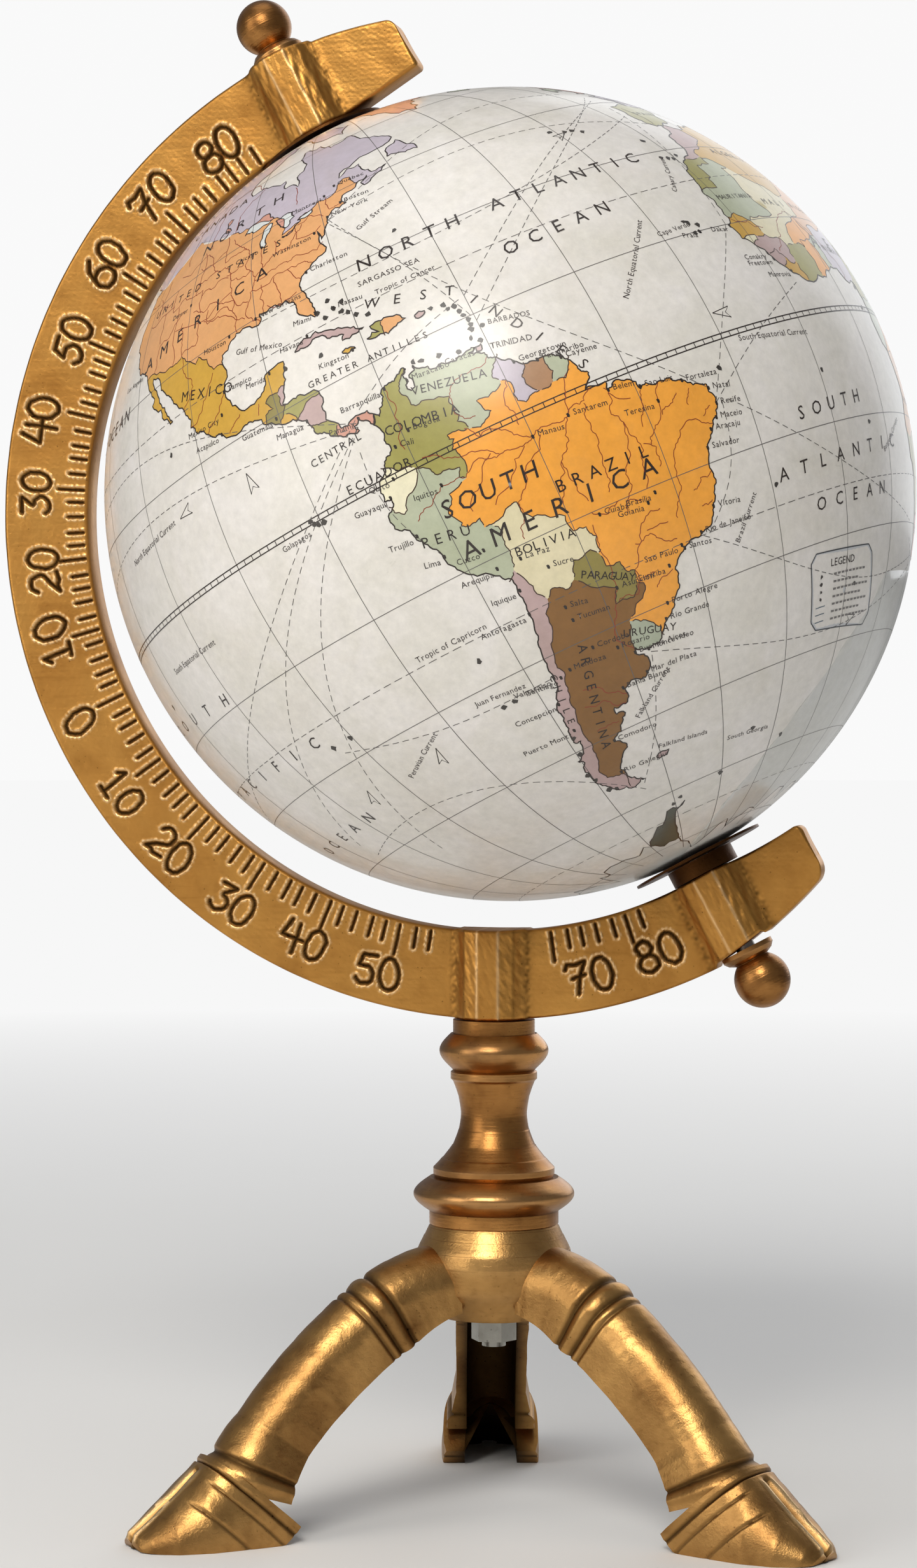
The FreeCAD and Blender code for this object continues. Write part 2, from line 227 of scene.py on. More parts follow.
def make_printed_paper():
    """Mottled printed paper under varnish: the ink's colour, clouded warm and cool, freckled finely, with
    brown stains."""
    tree, gi, go = group("printed_paper", [
        ("Ink", "Color", (0.8, 0.8, 0.8, 1)), ("Mottle", "Float", 1.0),
        ("Stain", "Color", (0.45, 0.34, 0.22, 1)), ("Stains", "Float", 0.2)],
        [("Color", "Color"), ("Roughness", "Float"), ("Height", "Float")])
    where = node(tree, "TexCoord").outputs["Object"]
    wide = noise(tree, where, 55.0, 5.0, 0.62, 0.6)
    fine = noise(tree, where, 420.0, 4.0, 0.7)
    fibre = noise(tree, where, 1600.0, 2.0, 0.6)
    light = math_node(tree, "ADD", ramp(tree, wide, 0.3, 0.7, -0.07, 0.055),
            ramp(tree, fine, 0.3, 0.7, -0.075, 0.06))
    light = math_node(tree, "MULTIPLY_ADD", light, gi.outputs["Mottle"], 1.0)
    shade = node(tree, "CombineColor", {0: light, 1: light, 2: ramp(tree, wide, 0.3, 0.7, 0.93, 1.03)})
    tree.links.new(math_node(tree, "MULTIPLY", light, ramp(tree, wide, 0.3, 0.7, 0.96, 1.02)),
            shade.inputs[2])
    colour = blend_colours(tree, 1.0, gi.outputs["Ink"], shade.outputs[0], "MULTIPLY")
    stain = math_node(tree, "MULTIPLY", ramp(tree, noise(tree, where, 24.0, 6.0, 0.7, 1.0), 0.5, 0.75),
            gi.outputs["Stains"])
    colour = blend_colours(tree, stain, colour, gi.outputs["Stain"])
    tree.links.new(colour, go.inputs["Color"])
    tree.links.new(ramp(tree, wide, 0.3, 0.7, 0.27, 0.37), go.inputs["Roughness"])
    tree.links.new(math_node(tree, "ADD", fibre, wide), go.inputs["Height"])
    return tree


AGED_BRASS = make_aged_brass()
PRINTED_PAPER = make_printed_paper()


def new_material(name):
    """A material with nodes, its tree and its Principled shader."""
    m = bpy.data.materials.new(name)
    m.use_nodes = True
    shader = m.node_tree.nodes["Principled BSDF"]
    return m, m.node_tree, shader


def finish_surface(tree, shader, source, strength, distance):
    """Joins a group's colour, roughness and height to the shader, the height through a Bump node."""
    tree.links.new(source.outputs["Color"], shader.inputs["Base Color"])
    tree.links.new(source.outputs["Roughness"], shader.inputs["Roughness"])
    bump = node(tree, "Bump", {"Strength": strength, "Distance": distance,
            "Height": source.outputs["Height"]})
    tree.links.new(bump.outputs[0], shader.inputs["Normal"])


def brass_material(name, bright, stain, clouding, rough, grain=1.0, scratch=0.5, stroke=(1, 1, 1),
        attributes=False, bump=0.35, deep=(26, 13, 5)):
    """Satin antique brass; on pieces that carry the two masks, painted shade darkens the hollows and a
    painted highlight lifts the raised edges.
    """
    m, tree, shader = new_material(name)
    shader.inputs["Metallic"].default_value = 1.0
    g = tree.nodes.new("ShaderNodeGroup")
    g.node_tree = AGED_BRASS
    for key, value in (("Bright", linear(*bright)), ("Stain", linear(*stain)), ("Deep", linear(*deep)),
            ("Clouding", clouding),
                       ("Roughness", rough), ("Grain", grain), ("Scratch", scratch), ("Stroke", stroke)):
        g.inputs[key].default_value = value
    if attributes:
        # the recess mask carries painted shade and the ridge mask a painted highlight
        for socket, layer in (("Recess Shade", "recess_shade"), ("Ridge Highlight", "ridge_highlight")):
            a = node(tree, "Attribute", attribute_name=layer)
            tree.links.new(a.outputs["Fac"], g.inputs[socket])
    finish_surface(tree, shader, g, bump, 0.0002)
    return m


def paper_material(name, ink=None, mottle=1.0, stains=0.15, bump=0.12):
    """Varnished printed paper; with no ink given it takes each face's own tint."""
    m, tree, shader = new_material(name)
    g = tree.nodes.new("ShaderNodeGroup")
    g.node_tree = PRINTED_PAPER
    g.inputs["Mottle"].default_value = mottle
    g.inputs["Stains"].default_value = stains
    if ink:
        g.inputs["Ink"].default_value = linear(*ink)
    else:
        a = node(tree, "Attribute", attribute_name="tint")
        tree.links.new(a.outputs["Color"], g.inputs["Ink"])
    finish_surface(tree, shader, g, bump, 0.0001)
    shader.inputs["Coat Weight"].default_value = 0.25
    shader.inputs["Coat Roughness"].default_value = 0.16
    return m


arc_brass = brass_material("arc_brass", (200, 146, 74), (128, 80, 30), 0.5, 0.38, 0.7, 0.6, (0.12, 1.0, 1.0),
        True, 0.3)
turned_brass = brass_material("turned_brass", (188, 134, 74), (92, 54, 24), 0.7, 0.3, 0.6, 0.6,
        (0.3, 0.3, 3.0), True, 0.25)
leg_brass = brass_material("leg_brass", (200, 154, 92), (112, 76, 40), 0.7, 0.34, 1.0, 0.5, (0.6, 0.6, 1.2),
        True, 0.35)
plain_brass = brass_material("hidden_brass", (190, 140, 80), (110, 70, 30), 0.6, 0.4)
dark_metal = brass_material("dark_metal", (92, 58, 28), (52, 30, 14), 0.7, 0.4, deep=(10, 6, 3))
rod_steel = brass_material("rod_steel", (150, 146, 140), (84, 80, 74), 0.4, 0.32, 0.5, 0.8, (0.4, 0.4, 2.0),
        deep=(20, 18, 16))
zinc = brass_material("zinc_fixing", (170, 168, 160), (110, 106, 96), 0.5, 0.36, 0.8, 0.4, deep=(24, 22, 18))
ocean_paper = paper_material("ocean_paper", (226, 222, 216), 1.0, 0.12)
land_paper = paper_material("land_paper", None, 0.9, 0.12)
map_ink = paper_material("map_ink", None, 0.5, 0.05)
board = paper_material("shell_board", (176, 160, 132), 1.2, 0.4)
bush_plastic = paper_material("bush_plastic", (70, 66, 62), 0.7, 0.2)

for name, material in (("axle_rod", rod_steel), ("south_spacer", dark_metal), ("leg_screws", zinc),
        ("centre_stud", zinc), ("stud_washer", zinc),
                       ("stud_nut", zinc), ("shell_north", board), ("shell_south", board),
                       ("joining_ring", board), ("bush_north", bush_plastic),
                       ("bush_south", bush_plastic), ("map_north", ocean_paper), ("map_south", ocean_paper),
                       ("pole_disc_north", dark_metal),
                       ("pole_disc_south", dark_metal), ("meridian_arc", plain_brass),
                       ("column", plain_brass), ("tripod_hub", plain_brass),
                       ("finial_north", plain_brass), ("finial_south", plain_brass),
                       ("leg_left", plain_brass), ("leg_right", plain_brass),
                       ("leg_rear", plain_brass)):
    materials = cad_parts[name].data.materials
    if not materials:
        materials.append(material)
    for i in range(len(materials)):
        materials[i] = material


# ------------------------------------------------------------ engraved meridian arc
def hand_cut_digit(figure):
    """One numeral's strokes as points on a unit-high field, x right and y up; round parts are short runs
    round an ellipse."""
    def bow(cx, cy, rx, ry, start, end, n=12):
        """Points (cx + rx cos a, cy + ry sin a), a from start to end in degrees."""
        a = np.radians(np.linspace(start, end, n))
        return np.c_[cx + rx * np.cos(a), cy + ry * np.sin(a)]
    runs = {
        "0": [bow(0, 0.5, 0.31, 0.5, 70, 425, 20)],
        "1": [np.array([(-0.2, 0.74), (-0.02, 0.97), (0.0, 0.02)]), np.array([(-0.2, 0.02), (0.22, 0.0)])],
        "2": [np.r_[bow(0.0, 0.7, 0.28, 0.29, 165, -38, 10),
        [(-0.05, 0.3), (-0.3, 0.02), (-0.12, 0.08), (0.05, 0.02), (0.34, 0.1)]]],
        "3": [np.r_[[(-0.27, 0.94), (0.24, 0.98), (-0.02, 0.6)], bow(-0.01, 0.28, 0.3, 0.29, 84, -150, 11)]],
        "4": [np.array([(-0.12, 0.98), (-0.34, 0.42), (0.36, 0.46)]),
        np.array([(0.14, 0.92), (0.16, 0.5), (0.12, -0.02)])],
        "5": [np.r_[[(0.3, 0.97), (-0.16, 0.94), (-0.24, 0.56)], bow(-0.02, 0.3, 0.3, 0.3, 118, -150, 12)]],
        "6": [np.r_[[(0.2, 0.99), (-0.1, 0.78)], bow(0.0, 0.3, 0.3, 0.3, 165, 520, 18)]],
        "7": [np.array([(-0.32, 0.8), (-0.26, 0.96), (0.0, 0.9), (0.32, 0.97), (0.1, 0.55), (-0.02, 0.0)]),
        np.array([(-0.14, 0.5), (0.26, 0.56)])],
        "8": [bow(0.0, 0.74, 0.23, 0.24, -60, 290, 16), bow(0.0, 0.26, 0.29, 0.27, 100, 450, 18)],
    }
    return runs[figure]


# scale number, its place round the arc in degrees from +X, its distance from the arc's centre, and whether
# its top points outwards
SCALE_NUMBERS = [("80", 127.4, 116.1, 1), ("70", 137.4, 119.2, 1), ("60", 147.5, 118.9, 1),
        ("50", 157.6, 118.0, 1), ("40", 168.2, 120.0, 1),
                 ("30", 177.3, 119.2, 1), ("20", 186.8, 117.7, 1), ("10", 195.7, 118.8, 1),
                 ("0", 206.1, 119.6, 1), ("10", 216.5, 119.3, 0),
                 ("20", 225.8, 119.2, 0), ("30", 235.8, 119.4, 0), ("40", 246.0, 118.4, 0),
                 ("50", 255.8, 119.3, 0), ("70", 282.3, 118.7, 0),
                 ("80", 291.1, 117.8, 0)]
DIGIT_HEIGHT = 8.2


def distance_to_strokes(px, pz, strokes):
    """Shortest distance from each point to any run of straight strokes: the foot on each piece is held
    between its ends."""
    best = np.full(px.shape, 99.0)
    for run in strokes:
        for (ax, az), (bx, bz) in zip(run[:-1], run[1:]):
            dx, dz = bx - ax, bz - az
            t = np.clip(((px - ax) * dx + (pz - az) * dz) / (dx * dx + dz * dz + 1e-9), 0, 1)
            best = np.minimum(best, np.hypot(px - ax - t * dx, pz - az - t * dz))
    return best


def scale_cuts(x, z):
    """Distance from each front-face point to the nearest engraved stroke or degree tick, in millimetres."""
    cut = np.full(x.shape, 99.0)
    rng = np.random.default_rng(7)
    for text, place_deg, radius, outward in SCALE_NUMBERS:
        a = math.radians(place_deg)
        up = np.array([math.cos(a), math.sin(a)]) * (1 if outward else -1)
        right = np.array([up[1], -up[0]])
        centre = np.array([math.cos(a), math.sin(a)]) * radius
        near = np.hypot(x - centre[0], z - centre[1]) < 12
        for k, figure in enumerate(text):
            lean, grow = rng.uniform(-0.1, 0.1), rng.uniform(0.93, 1.06)
            shift = (k - (len(text) - 1) / 2) * 6.3 + rng.uniform(-0.3, 0.3)
            strokes = []
            for run in hand_cut_digit(figure):
                run = (run - [0, 0.5]) * DIGIT_HEIGHT * grow
                run = run + rng.normal(0, 0.09, run.shape)
                run[:, 0] += run[:, 1] * lean + shift
                strokes.append(centre + run[:, :1] * right + run[:, 1:] * up)
            cut[near] = np.minimum(cut[near], distance_to_strokes(x[near], z[near], strokes))
    radius, angle = np.hypot(x, z), np.degrees(np.arctan2(z, x)) % 360
    # degree ticks: the nearest even degree, then the distance to that short radial cut
    scale = np.where(angle < 205.5, (205.5 - angle) / 0.97, (205.5 - angle) / 1.04)
    even = np.clip(np.round(scale / 2) * 2, -82, 84)
    tick_angle = np.radians(205.5 - np.where(even > 0, even * 0.97, even * 1.04) + 0.16 * np.sin(even * 5.3))
    reach = np.where(np.mod(even, 10) == 0, 7.2, 4.4) + 0.5 * np.sin(even * 3.1)
    side = np.abs(radius * np.sin(np.radians(angle) - tick_angle))
    over = np.maximum(np.maximum(106.4 - radius, radius - 106.4 - reach), 0)
    ticks = np.hypot(side + 0.12, over)
    ticks[(even <= -56) & (even >= -68)] = 99
    return np.minimum(cut, ticks)


def boss_rise(x, z):
    """Half thickness of the arc: the plate, and at each boss its filed flat, side facets and hollow fillet
    as a function of the distance from the boss's axis."""
    across = [0, 2.6, 2.75, 6.2, 6.35, 7.9, 8.8, 9.8, 11.2]
    height = [9.0, 8.98, 8.88, 7.25, 7.1, 5.5, 4.95, 4.62, 4.5]
    c, s = math.cos(AXLE_TILT), math.sin(AXLE_TILT)
    axle_side = (x - 4.0) * c + (z + ARC_CENTRE_Z - 256.0) * s
    side = np.full(x.shape, 99.0)
    side = np.where((z > 60) & (x < 0), np.abs(axle_side), side)
    side = np.where((z < 0) & (x > 25), np.abs(axle_side), side)
    side = np.where((z < -60) & (np.abs(x) < 25), np.abs(x), side)
    return np.interp(side, across, height), side


def arc_piece(name, start, end, open_start, open_end, nodes):
    """Part of the arc between two places, as one closed section carried round.
    A section is a rounded rectangle: front face, outer corner and wall, back face, inner wall. Its inner
    and outer ends follow the arc's two
    edges, which taper at the tips; the front face sinks in the engraved strokes and rises in a thin burr
    beside them."""
    tip_n = np.array([[113.4 * math.cos(math.radians(99.5)), 113.4 * math.sin(math.radians(99.5))],
                      [105.2 * math.cos(math.radians(114)), 105.2 * math.sin(math.radians(114))]])
    line = tip_n[0] + np.linspace(0, 1, 40)[:, None] * (tip_n[1] - tip_n[0])
    in_angle = np.degrees(np.arctan2(line[:, 1], line[:, 0]))
    in_radius = np.hypot(line[:, 0], line[:, 1])
    count = int((end - start) * 2.02 / 0.34)
    t = np.linspace(start, end, count)
    if open_start:
        t = np.unique(np.r_[start + np.array([0.0, 0.02, 0.06, 0.12, 0.2, 0.32]), t])
    if open_end:
        t = np.unique(np.r_[end - np.array([0.0, 0.02, 0.06, 0.12, 0.2, 0.32]), t])
    inner_a = t
    outer_a = t + np.interp(t, [99.5, 112.0, 303.0, 314.8], [1.7, 0.0, 0.0, -1.2])
    inner_r = np.interp(t, np.r_[in_angle, [302.0, 314.8]], np.r_[in_radius, [105.2, 109.5]])
    outer_r = np.interp(outer_a, [101.2, 110.0, 297.0, 313.6], [126.2, 127.4, 127.4, 122.9])
    from_n, from_s = (t - 99.5) * 2.1, (314.8 - t) * 2.1
    for gap, r in ((from_n, 3.0), (from_s, 4.5)):
        outer_r = outer_r - np.where(gap < r, r - np.sqrt(np.maximum(r * r - (r - np.clip(gap, 0, r)) ** 2,
                0)), 0)
    for gap, r in ((from_n, 0.8), (from_s, 1.6)):
        inner_r = inner_r + np.where(gap < r, r - np.sqrt(np.maximum(r * r - (r - np.clip(gap, 0, r)) ** 2,
                0)), 0)
    # the bosses' end faces stand a little proud of the plate's edges
    def bump_at(angle, half):
        """1 near an angle round the arc, easing to 0 between half - 0.25 and half + 0.25 degrees away."""
        return smoothstep(half + 0.25, half - 0.25, np.abs(t - angle))
    outer_r = outer_r + 0.6 * bump_at(115.3, 3.9) + 0.2 * bump_at(270, 4.1) - 1.0 * bump_at(300.2, 3.3)
    inner_r = inner_r + 0.2 * bump_at(115.3, 4.6) - 0.3 * bump_at(270, 4.9)
    columns_front, columns_back, corner = 66, 16, 5
    edge = 0.9
    v = np.linspace(0, 1, columns_front)
    w = np.linspace(1, 0, columns_back)
    q = np.linspace(0, 90, corner + 2)[1:-1] * np.pi / 180
    # each column: how far across (0 inner, 1 outer), rounding offsets across and in depth, and which side
    across = np.r_[v, np.ones(2 * corner), w, np.zeros(2 * corner)]
    rim = np.r_[np.where(v < 0.5, edge, -edge) * 1.0, -edge + edge * np.sin(q), -edge + edge * np.cos(q),
            np.where(w > 0.5, -edge, edge), edge - edge * np.sin(q), edge - edge * np.cos(q)]
    depth = np.r_[np.zeros(columns_front), edge * (1 - np.cos(q)), edge * (1 - np.sin(q)),
            np.zeros(columns_back), edge * (1 - np.cos(q)), edge * (1 - np.sin(q))]
    rim[:columns_front] = edge * (1 - 2 * v)
    rim[columns_front + 2 * corner: columns_front + 2 * corner + columns_back] = edge * (1 - 2 * w)
    side = np.r_[-np.ones(columns_front), -np.ones(corner), np.ones(corner), np.ones(columns_back),
            np.ones(corner), -np.ones(corner)]
    ia, oa = np.radians(inner_a)[:, None], np.radians(outer_a)[:, None]
    pin = np.stack([inner_r[:, None] * np.cos(ia), inner_r[:, None] * np.sin(ia)], -1)
    pout = np.stack([outer_r[:, None] * np.cos(oa), outer_r[:, None] * np.sin(oa)], -1)
    run = pout - pin
    unit = run / np.linalg.norm(run, axis=-1, keepdims=True)
    flat = pin + run * across[None, :, None] + unit * rim[None, :, None]
    x, z = flat[..., 0], flat[..., 1]
    half, off_boss = boss_rise(x, z)
    cut = scale_cuts(x[:, :columns_front], z[:, :columns_front])
    rough_edge = waves(x[:, :columns_front], z[:, :columns_front], 1.3, 3)
    groove = np.zeros(x.shape)
    ridge_highlight = np.zeros(x.shape)
    groove[:, :columns_front] = 1 - smoothstep(0.22, 0.72 + 0.1 * rough_edge, cut)
    ridge_highlight[:, :columns_front] = np.exp(-((cut - 0.95 - 0.1 * rough_edge) / 0.26) ** 2) * np.clip(0.75 + 0.6
            * rough_edge, 0.1, 1.4)
    plate = smoothstep(9.0, 10.5, off_boss)
    groove, ridge_highlight = groove * plate, ridge_highlight * plate
    wander = 0.05 * waves(x, z, 9.0, 11) + 0.018 * waves(x, z, 1.6, 12)
    chatter = 0.10 * (1 - plate) * waves((x * AXLE[0] + z * AXLE[2]) * 0.25, x * 1.1 + z * 0.5, 1.4, 13)
    half = half + np.where(side < 0, wander + chatter, 0) - 0.55 * groove + 0.17 * ridge_highlight
    half = half - np.maximum(half - 9.0, 0) - 0.02
    if open_start or open_end:
        gap = np.where(t < 200, from_n, from_s)[:, None]
        half = half - np.where(gap < 0.9, 0.9 - np.sqrt(np.maximum(0.81 - (0.9 - np.clip(gap, 0, 0.9)) ** 2,
                0)), 0)
    y = side[None, :] * (half - depth[None, :])
    points = np.stack([x, y, z + ARC_CENTRE_Z], -1)
    rows, columns = points.shape[:2]
    faces = grid_faces(rows, columns, close_columns=True)
    points = points.reshape(-1, 3)
    # painted shade: the colour darkens in the engraved cuts, in the hollow fillet round each boss and along
    # the crease between its facets
    recess_shade = 0.95 * groove + 0.5 * np.exp(-((off_boss - 9.3) / 1.1) ** 2) * (0.7 + 0.5 * waves(x, z, 2.0, 5))
    recess_shade = recess_shade + 0.32 * np.exp(-((off_boss - 6.3) / 0.35) ** 2)
    recess_shade = np.clip(recess_shade, 0, 1).ravel()
    # painted highlight along the burrs beside the cuts and along the edge of each boss's filed flat
    lit = (0.75 * ridge_highlight + 0.45 * np.exp(-((off_boss - 2.7) / 0.3) ** 2)).ravel()
    caps = []
    # each end is closed by a fan round the middle of its section
    for row, flip in ((0, False), (rows - 1, True)):
        ring = row * columns + np.arange(columns)
        middle = len(points)
        points = np.vstack([points, points[ring].mean(0)])
        recess_shade, lit = np.append(recess_shade, 0.0), np.append(lit, 0.0)
        fan = np.c_[ring, np.roll(ring, -1), np.full(columns, middle)]
        caps += (fan[:, ::-1] if flip else fan).tolist()
    faces = faces[:, ::-1].tolist() + [c[::-1] for c in caps]
    mesh = fill_mesh(name, points, faces, 50)
    mask(mesh, "recess_shade", recess_shade)
    mask(mesh, "ridge_highlight", np.clip(lit, 0, 1))
    return place(name, mesh, arc_brass, "stand", nodes)


arc_piece("arc_north", 99.5, 168.0, True, False, ("meridian_arc",))
arc_piece("arc_middle", 168.0, 240.0, False, False, ())
arc_piece("arc_south", 240.0, 314.8, False, True, ())
# ------------------------------------------------------------ printed map
MAP_MERIDIAN = 15.4            # the meridian of the map that meets the arc's plane on its open side


def turn_matrix(vector_deg):
    """Turn about a vector by its length in degrees, by Rodrigues' formula."""
    v = np.radians(np.array(vector_deg, float))
    angle = np.linalg.norm(v)
    x, y, z = v / angle
    k = np.array([[0, -z, y], [z, 0, -x], [-y, x, 0]])
    return np.eye(3) + math.sin(angle) * k + (1 - math.cos(angle)) * k @ k


# the axle's tilt, then the small error with which the paper was pasted on the ball
MAP_TURN = turn_matrix((-1.30, 2.33, -0.62)) @ turn_matrix((0, -28.0, 0))


def unit_point(lon, lat):
    """Unit vector (cos lat cos d, cos lat sin d, sin lat) with d the longitude from the map's meridian,
    turned onto the ball."""
    d, b = np.radians(np.asarray(lon, float) - MAP_MERIDIAN), np.radians(np.asarray(lat, float))
    return np.stack([np.cos(b) * np.cos(d), np.cos(b) * np.sin(d), np.sin(b)], -1) @ MAP_TURN.T


def chart(text):
    """Longitude and latitude pairs written in a row."""
    return np.array(text.split(), float).reshape(-1, 2)


def roughen(line, levels, amount, seed, closed=False):
    """Adds the small irregularities of a coast or border: each level halves every run and moves its middle
    sideways by a random share of its length."""
    rng = np.random.default_rng(seed)
    if closed:
        line = np.vstack([line, line[:1]])
    for _ in range(levels):
        a, b = line[:-1], line[1:]
        d = b - a
        shift = rng.uniform(-amount, amount, len(d))[:, None] * np.c_[-d[:, 1], d[:, 0]]
        merged = np.empty((2 * len(a) + 1, 2))
        merged[0::2] = line
        merged[1::2] = (a + b) / 2 + shift
        line = merged
    return line[:-1] if closed else line


